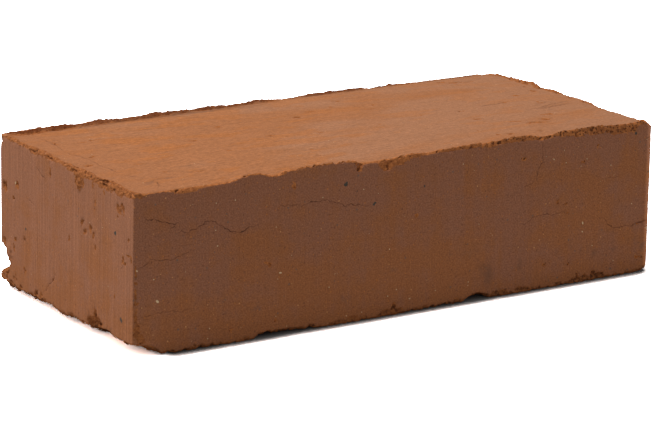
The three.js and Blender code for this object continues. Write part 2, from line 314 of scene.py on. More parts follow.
MARKS = (
    *marks_on(Face.LEFT, Tone.TORN, (
        ((54, 45.3), (1.6, 2.6), 0, 1.1), ((42.7, 47.9), (1.5, 1.7), 0, 0.6),
        ((46.3, 41.8), (1.1, 1), 0, 0.45), ((-16.2, 45.4), (0.7, 1.8), 6, 0.6),
        ((-18.4, 42.4), (0.8, 1.5), 8, 0.5), ((-23.8, 44.4), (1.4, 2), 18, 0.35),
        ((-26.3, 42.4), (1, 1.7), 12, 0.45), ((-27.8, 38.1), (0.8, 1), 0, 0.45),
        ((-27.2, 56.2), (0.5, 1.5), 0, 0.3), ((-27.2, 53.6), (0.5, 0.8), 0, 0.25),
        ((-47.9, 58.1), (2.4, 1.5), 20, 0.3), ((-51.7, 58.4), (0.8, 1.7), 0, 0.65),
        ((-46.4, 55.1), (0.6, 0.7), 0, 0.5), ((-51.4, 38.8), (1, 2.1), 15, 0.22),
        ((-55.8, 41.2), (1.6, 0.6), 0, 0.25), ((-57.9, 40.1), (0.5, 1.6), 0, 0.3),
        ((-53, 37.3), (0.8, 0.7), 0, 0.4), ((-55.6, 47), (0.5, 1.1), 12, 0.5),
        ((-25.3, 62.8), (0.9, 1.4), 0, 0.12), ((-35, 62), (0.8, 1.1), 0, 0.05),
        ((12.1, 60.6), (0.8, 2.2), 0, 0.3), ((-13.4, 62.2), (3.2, 3.6), 0, -1.2),
        ((-17, 61.8), (0.7, 2), 0, 0.4), ((28.6, 65.6), (3, 0.7), 0, 0.7),
        ((11.8, 65.6), (3.4, 0.7), 0, 0.7), ((-8.9, 65.5), (2.4, 0.7), 0, 0.7),
        ((-35.1, 65), (3.4, 0.8), 0, 0.8), ((45.5, 24.3), (0.5, 0.9), 0, 0.4),
        ((46, 20.2), (0.9, 1.6), 5, 0.6), ((35.6, 26.5), (0.5, 1), 0, 0.35),
        ((25.4, 5.4), (1.9, 1.7), 0, 1.4), ((29.6, 4), (2, 1), 0, 0.6),
        ((20.6, 5.2), (1.8, 1.5), 0, 0.5), ((17, 4.4), (1.2, 1), 0, 0.4),
        ((57.5, 5.5), (2.8, 5), 0, -0.3), ((53.2, 8.2), (1.1, 4.2), 4, 1.1),
        ((54.6, 11.6), (1.8, 1), 0, 0.6), ((55.4, 21.5), (1.2, 1.6), 0, 0.8),
        ((44.6, 8.2), (0.5, 2), -8, 0.7), ((46.4, 7.2), (0.8, 1), 0, 0.4),
        ((40, 4.4), (1.3, 1.1), 0, 0.9), ((48.8, 4), (2.4, 1), 10, 0.6),
        ((55.7, 45.8), (0.9, 2.2), 0, 0.9), ((-28.8, 8.2), (1.8, 2.4), 30, 0.6),
        ((36.2, 13.2), (0.6, 1.5), -10, 0.5), ((-28.2, 9), (1.6, 3.8), -8, 1.5),
        ((-31.4, 7.4), (3, 2.4), 0, 1.5), ((-28.6, 6.4), (3.4, 2.2), 0, 1.5))),
    *marks_on(Face.LEFT, Tone.PLAIN, (
        ((50.5, 18), (2.8, 5.4), 0, -1),)),
    *marks_on(Face.LEFT, Tone.DARK, (
        ((35.1, 30.8), (0.7, 0.8), 0, 0), ((-44.6, 47.5), (0.9, 0.8), 0, 0),
        ((-49.9, 15), (0.3, 1.5), -20, 0))),
    *marks_on(Face.LEFT, Tone.CREAM, (
        ((44.3, 48.7), (0.6, 0.7), 0, -0.2),)),
    *marks_on(Face.FRONT, Tone.TORN, (
        ((-124.6, 36), (0.4, 3.4), 0, 0.3), ((-124.4, 31.2), (0.7, 0.6), 0, 0.5),
        ((-124.6, 26.2), (0.4, 2.6), 0, 0.5), ((-124.2, 22.4), (1.1, 0.8), 0, 0.5),
        ((-124.6, 17), (0.5, 3), 0, 0.4), ((-124.2, 11.5), (1.6, 3.4), 0, 0.5),
        ((-122.6, 7.8), (1.8, 2.8), 0, 0.3), ((-65.5, 30.6), (1.7, 0.7), -25, 0.4),
        ((89.7, 52.8), (0.5, 1), 0, 0.6), ((75.8, 36.8), (0.8, 0.9), 0, 0.45),
        ((80.5, 35.8), (0.9, 0.6), 20, 0.1), ((81.3, 31.6), (0.6, 0.5), 0, 0.5),
        ((58.1, 58.1), (1.3, 0.6), 0, 0.1), ((96.8, 59.4), (0.7, 0.5), 0, 0.15),
        ((69.4, 10.1), (1.2, 0.35), -20, 0.4), ((82.5, 9.1), (0.6, 0.7), 0, 0.6),
        ((122.4, 6.5), (0.7, 0.5), 0, 0.5), ((121.4, 22.6), (3, 0.3), 12, 0.9),
        ((120.1, 7), (2.2, 0.5), 10, 0.5), ((99, 1.9), (3.2, 1.4), 0, 0.8),
        ((96, 3.4), (1.4, 0.9), 0, 0.9), ((91.3, 2.6), (0.8, 0.9), 0, 0.7),
        ((87.6, 2.6), (0.6, 1.8), 0, 0.7), ((57.5, 1.6), (3.4, 1), 0, 0.7),
        ((-6, 3.2), (2.2, 1.2), 60, 0.9))),
    *marks_on(Face.FRONT, Tone.DARK, (
        ((-29.2, 58), (1, 0.75), 25, 0.5), ((-24.1, 54.9), (0.5, 0.6), 0, 0.3),
        ((8.7, 52.8), (0.5, 0.5), 0, 0.3), ((-15.9, 48.9), (0.5, 0.5), 0, 0.3),
        ((116.6, 61.9), (0.7, 0.7), 0, 0.3))),
    *marks_on(Face.FRONT, Tone.CREAM, (
        ((-33.4, 21.8), (0.75, 0.3), 0, 0), ((-59.8, 25.7), (0.4, 0.45), 0, 0),
        ((-62.5, 13.7), (0.3, 0.5), 0, 0), ((1.5, 5.6), (0.25, 0.5), 0, 0),
        ((89.5, 26.2), (0.3, 0.5), 0, 0), ((89.7, 22.3), (0.3, 0.4), 0, 0),
        ((105.9, 19.4), (0.35, 0.35), 0, 0), ((73.6, 56.2), (0.3, 0.3), 0, 0),
        ((124.5, 19.3), (0.5, 0.7), 0, 0), ((-115.1, 22.4), (0.12, 0.6), 0, 0),
        ((-124.3, 35.9), (0.55, 0.3), -30, 0))),
    *marks_on(Face.FRONT, Tone.STAIN_AND_SHADE, (
        ((41, 10.5), (4.4, 8), 0, 0), ((38, 14), (3, 3), 0, 0), ((57.2, 12.5), (2, 4.4), 0, 0),
        ((96.2, 12.5), (2.2, 2.4), 0, 0))),
    *marks_on(Face.TOP, Tone.TORN, (
        ((-123.6, -32.6), (1.3, 4.2), 0, 0.9), ((123.4, -55.6), (1.8, 2.6), 0, -0.8),
        ((-115, 55.2), (8, 2.8), -3, 0.5), ((-99, 55.6), (9, 2), 0, 0.35),
        ((-96.5, 30.6), (2.6, 0.6), 10, 0.6), ((-102.5, 29.6), (2.4, 0.5), 4, 0.3),
        ((-110, 5.2), (1, 2), -60, 0.5), ((-118.3, -8.1), (1.3, 2.2), -50, 0.6),
        ((-113, 33), (0.5, 2.6), -8, 0.45), ((-39.9, 26.9), (1.8, 0.8), 0, 0.3),
        ((-61.2, 9.7), (2, 0.6), -6, 0.4), ((-100.7, -15.6), (2.4, 0.6), -16, 0.4),
        ((-96.9, -32.1), (1, 0.9), 0, 0.35), ((-86.2, -10.3), (0.7, 0.8), 0, 0.3),
        ((-1.2, 25.6), (1.4, 1.5), -45, 0.5), ((-29.1, 1.2), (2.1, 0.9), -40, 0.5),
        ((39.8, 29.3), (1.2, 0.9), -40, 0.5), ((-57.1, -13), (1.4, 0.7), -35, 0.45),
        ((-29.3, -39.3), (1.7, 0.6), -20, 0.4), ((-26.7, -28.6), (1, 0.6), -30, 0.35),
        ((22.5, -3.5), (0.8, 0.6), -30, 0.35), ((-8, -5.2), (1.2, 0.6), -10, 0.35),
        ((21.5, 34.9), (1.2, 0.8), 0, 0.3), ((64, -16.2), (1.8, 0.9), -10, 0.7),
        ((66.5, 0.4), (1.6, 0.6), -10, 0.6), ((93.5, 5), (2.2, 0.5), 6, 0.55),
        ((106.2, 13.6), (1.6, 0.9), 0, 0.3), ((120.8, 27.8), (0.8, 1.2), 0, 0.6),
        ((118.7, 18.6), (0.9, 2.2), 10, 0.5), ((97, 50.6), (4.5, 0.7), -6, 0.45),
        ((92.6, 54.2), (2.6, 0.7), 0, 0.4), ((104, 48.7), (3, 0.6), -4, 0.35),
        ((89, -32.3), (2.2, 0.7), -10, 0.6), ((78.6, -33.6), (1.2, 0.8), 0, 0.6),
        ((55, -44.7), (1.1, 0.6), -20, 0.5), ((60.4, -45.8), (2.8, 0.6), -30, 0.4),
        ((60.3, -31), (0.5, 0.6), 0, 0.5), ((83, -34.5), (4.2, 1.2), -25, 0.35),
        ((89, -30.5), (3, 0.9), -15, 0.35), ((95.5, -24), (3.2, 0.8), -12, 0.3),
        ((74.5, -28), (2.6, 0.7), -10, 0.3))),
    # Painted shade along a shallow groove near the front left corner of the top bed; these marks also sink
    # it 0.2 mm.
    *marks_on(Face.TOP, Tone.STAIN_AND_SHADE, (
        ((-109.5, -44.3), (5.5, 2.6), 38, 0.2), ((-101, -41), (7, 2.6), 0, 0.2))),
    *marks_on(Face.BACK, Tone.TORN, (
        ((-122, 6), (3, 5), 0, -0.3),)),
    *marks_on(Face.BACK, Tone.PLAIN, (
        ((-121.5, 15.5), (3.6, 5.4), 0, -1),)),
)


# ---- small helpers ----


def smooth_step(low: float, high: float, values: Array) -> Array:
    """Soft step from 0 at low to 1 at high.

    Args:
        low: Where the step starts.
        high: Where it ends; it may lie below low, and then the step falls.
        values: Any array.

    Returns:
        An array of the same shape, from 0 to 1.
    """
    share = np.clip((values - low) / (high - low), 0.0, 1.0)
    return share * share * (3.0 - 2.0 * share)


def lumps(places: Array, size: tuple[float, float, float] | float, seed: float) -> Array:
    """Even noise from about -1 to 1.

    Args:
        places: Points in mm, one to a row.
        size: How wide the lumps are in mm, the same all ways or one value for each axis.
        seed: Moves the noise, so that two layers differ.

    Returns:
        One value for each point.
    """
    moved = places / np.asarray(size, dtype=float) + np.array([seed, 1.7 * seed, 2.9 * seed])
    return np.array([noise.noise(Vector(each)) for each in moved])


def crumbs(places: Array, size: float, seed: float) -> Array:
    """Rounded crumbs with narrow clefts between them.

    Args:
        places: Points in mm, one to a row.
        size: How far apart the crumbs are, in mm.
        seed: Moves the pattern.

    Returns:
        About 0.5 on top of a crumb and -0.4 in a cleft, for each point.
    """
    moved = places / size + seed
    return np.array([0.5 - noise.voronoi(Vector(each))[0][0] for each in moved])


def turned(places: Array, axis: int, degrees: float) -> Array:
    """The points turned about one axis, to lay a pattern along a slanting line."""
    return places @ np.array(Matrix.Rotation(math.radians(degrees), 3, "XYZ"[axis])).T


@dataclass(frozen=True)
class Layer:
    """A layer of noise on a surface: its height and the width of its lumps in mm, and its seed.

    Crumbs are drawn instead of even noise where they are asked for.
    """

    height: float
    size: tuple[float, float, float] | float
    seed: float
    crumbly: bool = False

    def at(self, places: Array) -> Array:
        """The layer's height at each point."""
        return self.height * (crumbs if self.crumbly else lumps)(places, self.size, self.seed)


def layered(layers: Iterable[Layer], places: Array, base: float = 0.0) -> Array:
    """The heights of several layers on an even base, together, at each point."""
    return sum((layer.at(places) for layer in layers), base)


def placed(name: str, data: bpy.types.ID) -> bpy.types.Object:
    """Makes an object of a mesh, a camera or a lamp, and puts it in the scene.

    Args:
        name: What to call it.
        data: The mesh, camera or lamp.

    Returns:
        The new object.
    """
    made = bpy.data.objects.new(name, data)
    bpy.context.scene.collection.objects.link(made)
    return made


# ---- the brick ----


@dataclass(frozen=True)
class Block:
    """The plain block that the brick departs from, in mm.

    It has one round corner in plan. The brick's ends have moved along X, by near_left, far_left
    and right at their foot and at their top.
    """

    low: Array
    high: Array
    round_corner: float = 10.0
    near_left: tuple[float, float] = (-1.5, 0.1)
    far_left: tuple[float, float] = (-1.9, -0.6)
    right: tuple[float, float] = (0.2, 0.45)

    def gaps(self, places: Array) -> Array:
        """Distance of each point from its nearer side along each axis."""
        return np.minimum(places - self.low, self.high - places)

    def arris_distance(self, places: Array) -> Array:
        """Distance of each point from the nearest arris."""
        return np.sort(self.gaps(places), axis=1)[:, 1]

    def bed_arris_distance(self, places: Array) -> Array:
        """Distance of each point from the nearest arris of a bed."""
        gaps = self.gaps(places)
        return np.maximum(gaps[:, 2], np.minimum(gaps[:, 0], gaps[:, 1]))

    def side_distance(self, places: Array, face: Face) -> Array:
        """Distance of each point from the plane of one side."""
        level = (self.high if face.way > 0 else self.low)[face.axis]
        return np.abs(places[:, face.axis] - level)

    def plan_inset(self, places: Array) -> Array:
        """How far inside the outline in plan each point is.

        Args:
            places: Points in mm, one to a row.

        Returns:
            One distance in mm for each point, below zero outside.
        """
        sides = self.gaps(places)[:, :2].min(axis=1)
        out = np.maximum(places[:, :2] - (self.high[:2] - self.round_corner), 0.0)
        rounded = self.round_corner - np.linalg.norm(out, axis=1)
        return np.where((out > 0).all(axis=1), np.minimum(sides, rounded), sides)

    def burr_rise(self, places: Array) -> Array:
        """How far each point stands above the top bed."""
        return np.maximum(0.0, places[:, 2] - self.high[2])

    def skew(self, places: Array) -> Array:
        """How far along X each point has moved, because the ends aren't square.

        Args:
            places: Points in mm, one to a row.

        Returns:
            One distance in mm for each point.
        """
        across, deep, up = np.clip((places - self.low) / (self.high - self.low), 0.0, 1.0).T
        ends = [foot + (top - foot) * up for foot, top in (self.near_left, self.far_left, self.right)]
        left = ends[0] + (ends[1] - ends[0]) * deep
        return left + (ends[2] - left) * across

    def on_side(self, places: Array, face: Face) -> tuple[Array, Array]:
        """Finds the points on one side of the block.

        Args:
            places: Points of the block in mm.
            face: The side.

        Returns:
            Their row numbers, and where they end up along the side's two axes.
        """
        rows = np.flatnonzero(self.side_distance(places, face) < ON_PLANE)
        spots = places[rows]
        spots[:, 0] += self.skew(spots)
        return rows, spots[:, [face.across, face.up]]


@dataclass(frozen=True)
class ChancePits:
    """How many small pits and drag tears chance adds to a face."""

    face: Face
    pits: int
    tears: int = 0


@dataclass
class Details:
    """What has its own place on the brick: cracks, scores and marks, and small ones spread by chance.

    Lengths are in mm. A rim, a bowl and a crack's end are bands, where a soft step starts and
    ends: the first two count in radii of the mark. Cracks and marks wander off their lines.
    """

    block: Block
    drag_angle: float
    cracks: tuple[Crack, ...] = CRACKS
    scores: tuple[Score, ...] = SCORES
    marks: tuple[Mark, ...] = MARKS
    chance: tuple[ChancePits, ...] = (
        ChancePits(Face.LEFT, 4), ChancePits(Face.FRONT, 4), ChancePits(Face.RIGHT, 20),
        ChancePits(Face.BACK, 26), ChancePits(Face.TOP, 4, 8), ChancePits(Face.BOTTOM, 12, 26))
    margin: float = 5.0
    pit_size: tuple[float, float] = (0.4, 0.9)
    pit_upright: tuple[float, float] = (1.0, 2.0)
    pit_turn: float = 15.0
    pit_depth: float = 0.35
    tear_length: tuple[float, float] = (1.2, 2.8)
    tear_width: tuple[float, float] = (0.35, 0.6)
    tear_turn: float = 12.0
    tear_depth: tuple[float, float] = (0.15, 0.3)
    seed: int = 11
    wander: tuple[tuple[Layer, ...], ...] = (
        (Layer(0.8, 3.0, 5.1), Layer(0.6, 1.1, 2.7)), (Layer(0.8, 3.0, 8.3), Layer(0.6, 1.1, 6.9)))
    mark_wander: float = 0.6
    ragged: Layer = Layer(0.5, 0.9, 3.4)
    rim: Band = (1.2, 0.8)
    soft_rim: Band = (1.2, 0.2)
    bowl: Band = (1.1, 0.2)
    crack_end: Band = (-0.5, 4.0)
    cleft_depth: float = 0.4
    cleft_floor: float = 0.1
    score_sway: float = 0.12
    score_wave: float = 9.0

    def __post_init__(self) -> None:
        """Scatters small pits and drag tears that no list names, the same ones each run."""
        rng = random.Random(self.seed)
        scattered = []
        for each in self.chance:
            face, low, high = each.face, self.block.low + self.margin, self.block.high - self.margin
            for number in range(each.pits + each.tears):
                spot = tuple(rng.uniform(low[k], high[k]) for k in (face.across, face.up))
                if number < each.pits:
                    size = rng.uniform(*self.pit_size)
                    upright = 1.0 if face.is_bed else rng.uniform(*self.pit_upright)
                    turn = rng.uniform(-self.pit_turn, self.pit_turn)
                    scattered.append(Mark(face, spot, (size, size * upright), turn, self.pit_depth))
                else:
                    turn = self.drag_angle + rng.uniform(-self.tear_turn, self.tear_turn)
                    radii = (rng.uniform(*self.tear_length), rng.uniform(*self.tear_width))
                    scattered.append(Mark(face, spot, radii, turn, rng.uniform(*self.tear_depth)))
        self.marks += tuple(scattered)

    def distance(self, places: Array) -> Array:
        """Distance from the nearest crack or rim of a mark, on the same side of the block.

        Args:
            places: Points of the plain block in mm, one to a row.

        Returns:
            One distance in mm for each point, below zero inside a mark.
        """
        nearest = np.full(len(places), FAR)
        for face in Face:
            rows, spots = self.block.on_side(places, face)
            for crack in self._on(face, self.cracks):
                nearest[rows] = np.minimum(nearest[rows], np.abs(crack.measure(spots)[0]))
            for mark in self._on(face, self.marks):
                away = (mark.ring(spots) - 1.0) * max(mark.radii)
                nearest[rows] = np.minimum(nearest[rows], away)
        return nearest

    def fields(self, places: Array) -> Fields:
        """Works out where the details lie.

        Args:
            places: Points of the block in mm.

        Returns:
            By name, for each point: the share of each tone, headers, how deep the marks are,
            and the signed distances from a crack and from a score, with their strengths.
        """
        count = len(places)
        names = ("pit", "header", "crack_share", "score_share", *(tone.value for tone in Tone))
        fields = {name: np.zeros(count) for name in names}
        fields |= {name: np.full(count, OUT_OF_REACH) for name in ("crack", "score")}
        wander = np.column_stack([layered(layers, places) for layers in self.wander])
        ragged = 1.0 + self.ragged.at(places)
        for face in Face:
            rows, spots = self.block.on_side(places, face)
            fields["header"][rows] = float(face.is_header)
            self._add_scores(fields, face, rows, spots)
            self._add_cracks(fields, face, rows, spots + wander[rows])
            self._add_marks(fields, face, rows, spots + wander[rows] * self.mark_wander, ragged[rows])
        return fields

    @staticmethod
    def _on(face: Face, details: Iterable) -> list:
        """The details that lie on one face."""
        return [each for each in details if each.face is face]

    def _add_scores(self, fields: Fields, face: Face, rows: Array, spots: Array) -> None:
        """Adds one side's scores to the fields; they never run quite straight.

        Args:
            fields: The fields, which it changes.
            face: The side.
            rows: The rows of the points on it.
            spots: Where those points lie on it, in mm.
        """
        for score in self._on(face, self.scores):
            sway = self.score_sway * np.sin(spots[:, 1] / self.score_wave + score.across)
            away = spots[:, 0] - score.across - sway
            self._keep_nearer(fields, "score", rows, away, np.full(len(rows), score.strength))

    def _add_cracks(self, fields: Fields, face: Face, rows: Array, spots: Array) -> None:
        """Adds one side's cracks to the fields; each fades out at its ends.

        Args:
            fields: The fields, which it changes.
            face: The side.
            rows: The rows of the points on it.
            spots: Where those points lie on it, in mm.
        """
        for crack in self._on(face, self.cracks):
            away, run = crack.measure(spots)
            share = crack.strength * smooth_step(*self.crack_end, run)
            self._keep_nearer(fields, "crack", rows, away, share)
            wall = smooth_step(crack.width, self.cleft_floor * crack.width, np.abs(away))
            cleft = self.cleft_depth * crack.depth * share * wall
            fields["pit"][rows] = np.maximum(fields["pit"][rows], cleft)

    def _add_marks(self, fields: Fields, face: Face, rows: Array, spots: Array, ragged: Array) -> None:
        """Adds one side's marks to the fields, with ragged rims.

        Args:
            fields: The fields, which it changes.
            face: The side.
            rows: The rows of the points on it.
            spots: Where those points lie on it, in mm.
            ragged: How far the rims are drawn in or out there, around 1.
        """
        for mark in self._on(face, self.marks):
            ring = mark.ring(spots) * ragged
            held = smooth_step(*(self.soft_rim if mark.tone is Tone.STAIN_AND_SHADE else self.rim), ring)
            bowl = mark.depth * smooth_step(*self.bowl, ring)
            pit = fields["pit"][rows]
            fields["pit"][rows] = np.where(np.abs(bowl) > np.abs(pit), bowl, pit)
            tone = fields[mark.tone.value]
            tone[rows] = np.maximum(tone[rows], held)

    @staticmethod
    def _keep_nearer(fields: Fields, name: str, rows: Array, away: Array, share: Array) -> None:
        """Keeps a line's distance and strength where it is the nearest line of its sort so far.

        Args:
            fields: The fields, which it changes.
            name: The field that holds the distance.
            rows: The rows of the points on the side.
            away: How far each of them is from this line, with its side.
            share: How strong this line is there.
        """
        nearer = np.abs(away) < np.abs(fields[name][rows])
        fields[name][rows[nearer]] = away[nearer]
        fields[f"{name}_share"][rows[nearer]] = share[nearer]


@dataclass(frozen=True)
class Points:
    """The points of the mesh in mm, one to a row.

    Attributes:
        plain: Where they are on the plain block.
        here: Where they are on the solid.
        facing: The way that the solid faces there.
    """

    plain: Array
    here: Array
    facing: Array

    @property
    def away(self) -> Array:
        """How far the solid is from the plain block at each point."""
        return np.linalg.norm(self.here - self.plain, axis=1)


@dataclass(frozen=True)
class TornClay:
    """Where clay is torn. Lengths are in mm, and a band is where a soft step starts and ends.

    Clay counts as torn where it has left the plain block or a lump has come off, above the
    ragged head of a listed side and below its crumbled foot. The burr's folded top counts for
    less, and its outer side up to the lip still has the die's skin.
    """

    block: Block
    tear_edges: tuple[TearEdge, ...] = TEAR_EDGES
    off_block: Band = (0.04, 0.2)
    off_level: Band = (0.03, 0.16)
    sunk_by: Band = (0.35, 0.8)
    sunk_arris: float = 0.3
    fold: Band = (6.0, 4.6)
    fold_rise: Band = (0.2, 0.6)
    fold_share: float = 0.45
    head_edge: Band = (-0.2, 0.2)
    head_rag: tuple[Layer, ...] = (Layer(0.5, 1.2, 5.5), Layer(0.4, 0.6, 2.5))
    head_reach: float = 0.9
    head_depth: float = 6.0
    foot_edge: Band = (0.5, -0.5)
    foot_crumbs: tuple[Layer, ...] = (Layer(2.6, 7.0, 2.6), Layer(1.6, 2.4, 6.2))
    foot_height: float = 1.3
    foot_stretch: tuple[float, float, float] = (1.0, 1.0, 0.3)
    lip_inset: Band = (0.16, 0.05)
    lip_slope: Band = (0.7, 0.5)
    lip_depth: float = 1.2
    lip_rise: Band = (0.0, 0.5)

    def share(self, points: Points) -> Array:
        """How torn each point is, from 0 to 1."""
        torn = self._broken(points) * (1.0 - self._lip(points))
        return np.maximum(np.maximum(torn, self._head(points)), self._foot(points))

    def sunk(self, points: Points) -> Array:
        """Where a whole lump has come off a side.

        Args:
            points: The points of the mesh.

        Returns:
            A share from 0 to 1 for each of them.
        """
        sunk = smooth_step(*self.sunk_by, self.block.plan_inset(points.here))
        sunk *= self.block.bed_arris_distance(points.plain) > self.sunk_arris
        on_side = np.abs(self.block.plan_inset(points.plain)) < ON_PLANE
        return sunk * smooth_step(*self.sunk_by, points.away) * on_side

    def _broken(self, points: Points) -> Array:
        """Where broken arrises, chips and the burr have left the plain block.

        Args:
            points: The points of the mesh.

        Returns:
            A share from 0 to 1 for each of them.
        """
        level = np.abs(points.facing[:, 2])
        slant = np.minimum(level, np.sqrt(np.maximum(0.0, 1.0 - level**2)))
        folded = smooth_step(*self.fold, self.block.high[1] - points.here[:, 1])
        folded *= smooth_step(*self.fold_rise, self.block.burr_rise(points.here))
        broken = np.maximum(smooth_step(*self.off_level, slant), self.sunk(points))
        return smooth_step(*self.off_block, points.away) * broken * (1.0 - self.fold_share * folded)

    def _head(self, points: Points) -> Array:
        """How torn the top of each listed side is, down to a ragged edge.

        Args:
            points: The points of the mesh.

        Returns:
            A share from 0 to 1 for each of them.
        """
        share = np.zeros(len(points.here))
        ragged, bed = layered(self.head_rag, points.here), self.block.high[2]
        for edge in self.tear_edges:
            drop = points.here[:, 2] - bed + edge.at(points.here) + ragged
            near = self.block.side_distance(points.here, edge.face) < self.head_reach
            above = smooth_step(*self.head_edge, drop) * near
            share = np.maximum(share, above * (points.plain[:, 2] > bed - self.head_depth))
        return share

    def _foot(self, points: Points) -> Array:
        """How torn the foot of each side is; it crumbled when the brick was set down."""
        height = layered(self.foot_crumbs, points.plain * np.array(self.foot_stretch), self.foot_height)
        return smooth_step(*self.foot_edge, points.plain[:, 2] - height) * (points.plain[:, 2] > -ON_PLANE)

    def _lip(self, points: Points) -> Array:
        """Where the die's skin goes on up the outer side of the burr.

        Args:
            points: The points of the mesh.

        Returns:
            A share from 0 to 1 for each of them.
        """
        outside = smooth_step(*self.lip_inset, self.block.plan_inset(points.here))
        outside *= smooth_step(*self.lip_slope, points.facing[:, 2])
        outside *= points.here[:, 2] > self.block.high[2] - self.lip_depth
        return outside * smooth_step(*self.lip_rise, self.block.burr_rise(points.here))


@dataclass(frozen=True)
class Relief:
    """What the wire, the die, the tear and the kiln left on the sides, finer than the solid's facets.

    Lengths are in mm, and a band is where a soft step starts and ends.
    """

    block: Block
    torn_clay: TornClay
    drag_angle: float
    foot_edges: tuple[FootEdge, ...] = FOOT_EDGES
    swell: Layer = Layer(0.1, 46.0, 3.3)
    drags: tuple[Layer, ...] = (Layer(0.09, (60.0, 7.0, 30.0), 4.4), Layer(0.06, (26.0, 3.2, 30.0), 7.7))
    least_torn: float = 0.02
    sunk_clay: Band = (-0.7, 0.0)
    torn_hollow: Band = (0.0, -0.6)
    shallow: Band = (0.12, 0.7)
    side_share: float = 0.35
    bed_share: float = 0.35
    deep: Band = (0.8, 1.2)
    deep_share: float = 0.45
    clumps: tuple[Layer, ...] = (Layer(1.1, 3.4, 7.9), Layer(0.5, 1.7, 3.1))
    clumps_height: Band = (48.0, 40.0)
    underside: float = 0.05
    crest_jag: tuple[Layer, ...] = (Layer(0.2, 4.2, 9.4), Layer(0.35, 1.5, 1.9))
    crest_lift: float = 0.1
    crest_rise: float = 0.3
    crest_along: Band = (10.0, 25.0)
    foot_rag: tuple[Layer, ...] = (Layer(0.9, 3.6, 3.8), Layer(0.6, 1.3, 8.8))
    foot_raised: float = 0.45
    foot_most: float = 2.8
    foot_inset: Band = (7.0, 4.0)
    foot_height: Band = (3.0, 0.5)
    holes: Layer = Layer(1.0, 1.5, 2.2)
    hole_edge: Band = (0.15, 0.5)
    hole_depth: float = 0.45
    clods: tuple[Layer, ...] = (Layer(0.45, 1.8, 0.6, True), Layer(0.35, 0.9, 4.3, True))
    strands: Layer = Layer(0.4, (1.6, 3.0, 0.7), 1.3)
    strand_crumbs: Layer = Layer(0.2, 0.9, 7.1)
    strand_angle: float = 18.0
    strand_reach: Band = (9.0, 3.0)
    strand_height: Band = (-40.0, -20.0)
    waves: Layer = Layer(0.2, 5.0, 6.1)
    fold: Band = (5.0, 3.6)
    fold_rise: Band = (-0.3, 0.3)
    fold_share: float = 0.75
    knocks: Layer = Layer(1.0, 6.5, 5.7)
    knock_edge: Band = (0.25, 0.6)
    knock_depth: float = 0.4
    knock_reach: Band = (1.2, 0.2)
    wear: float = 0.06
    upright_arris: Band = (4.0, 8.0)
    upright_share: float = 0.75

    def moved(self, points: Points, fields: Fields) -> Array:
        """Moves each point in or out, and works out the fields' hollows, the painted shade in marks and
        clefts.

        Args:
            points: The points of the mesh.
            fields: What is where; its hollows, how much painted shade darkens each point, are worked out
                here.

        Returns:
            The new place of each point.
        """
        torn, pit, here = fields["torn"], fields["pit"], points.here
        height = self.swell.at(here)
        on_bed = fields["bed"] > 0
        height[on_bed] += layered(self.drags, turned(here[on_bed], 2, -self.drag_angle))
        rough = np.flatnonzero(torn > self.least_torn)
        broken = self._broken_clay(here[rough]) * smooth_step(*self.sunk_clay, pit[rough])
        height[rough] += torn[rough] * broken
        # Painted shade: hollows darken the inside of marks and cracks, and the clefts between torn crumbs.
        fields["hollow"] = self._hollow(pit, on_bed)
        hollow = torn[rough] * smooth_step(*self.torn_hollow, broken)
        fields["hollow"][rough] = np.maximum(hollow, fields["hollow"][rough])
        height -= pit + self._knocks(points)
        sunk = self.torn_clay.sunk(points) * smooth_step(*self.clumps_height, here[:, 2])
        height += sunk * layered(self.clumps, here)
        underside = here[:, 2] < self.underside
        height[underside] = -np.abs(height[underside])
        moved = here + points.facing * height[:, None]
        lift = self.crest_lift + self.crest_rise * smooth_step(*self.crest_along, here[:, 0])
        crest = self.block.burr_rise(here) * (layered(self.crest_jag, here) + lift)
        moved[:, 2] = np.maximum(moved[:, 2] + (crest + self._foot_lift(here)), 0.0)
        moved[:, 0] += self.block.skew(moved)
        return moved

    def _hollow(self, pit: Array, on_bed: Array) -> Array:
        """How much painted shade darkens the marks inside: more so on a bed, and where they are deep.

        Args:
            pit: How deep the marks are at each point.
            on_bed: Whether each point is on a bed.

        Returns:
            A share from 0 to 1 for each point.
        """
        share = self.side_share + self.bed_share * on_bed
        return share * smooth_step(*self.shallow, pit) + self.deep_share * smooth_step(*self.deep, pit)

    def _foot_lift(self, here: Array) -> Array:
        """How far the lowest edge of each side has crumbled away upwards.

        Args:
            here: Points on the solid.

        Returns:
            One height for each of them.
        """
        ragged = layered(self.foot_rag, here * np.array([1.0, 1.0, 0.0]), self.foot_raised)
        near = smooth_step(*self.foot_inset, self.block.plan_inset(here))
        near *= smooth_step(*self.foot_height, here[:, 2])
        for edge in self.foot_edges:
            inside = self.block.side_distance(here, edge.face)
            close = smooth_step(edge.reach, 0.7 * edge.reach, inside)
            close *= smooth_step(edge.height, 0.4 * edge.height, here[:, 2])
            ragged += close * edge.at(here)
            near = np.maximum(near, close)
        return near * np.clip(ragged, 0.0, self.foot_most)

    def _broken_clay(self, here: Array) -> Array:
        """Crumbs and holes of broken clay, drawn out into strands along the left header.

        Args:
            here: Points on the solid.

        Returns:
            One height for each of them.
        """
        holes = self.hole_depth * smooth_step(*self.hole_edge, self.holes.at(here))
        strands = self.strands.at(turned(here, 0, self.strand_angle)) + self.strand_crumbs.at(here)
        rise = here[:, 2] - self.block.high[2]
        drawn = smooth_step(*self.strand_reach, here[:, 0] - self.block.low[0])
        drawn *= smooth_step(*self.strand_height, rise)
        folded = smooth_step(*self.fold, self.block.high[1] - here[:, 1])
        folded *= smooth_step(*self.fold_rise, rise)
        mixed = drawn * strands + (1.0 - drawn) * layered(self.clods, here) - holes
        return (mixed + self.waves.at(here)) * (1.0 - self.fold_share * folded)

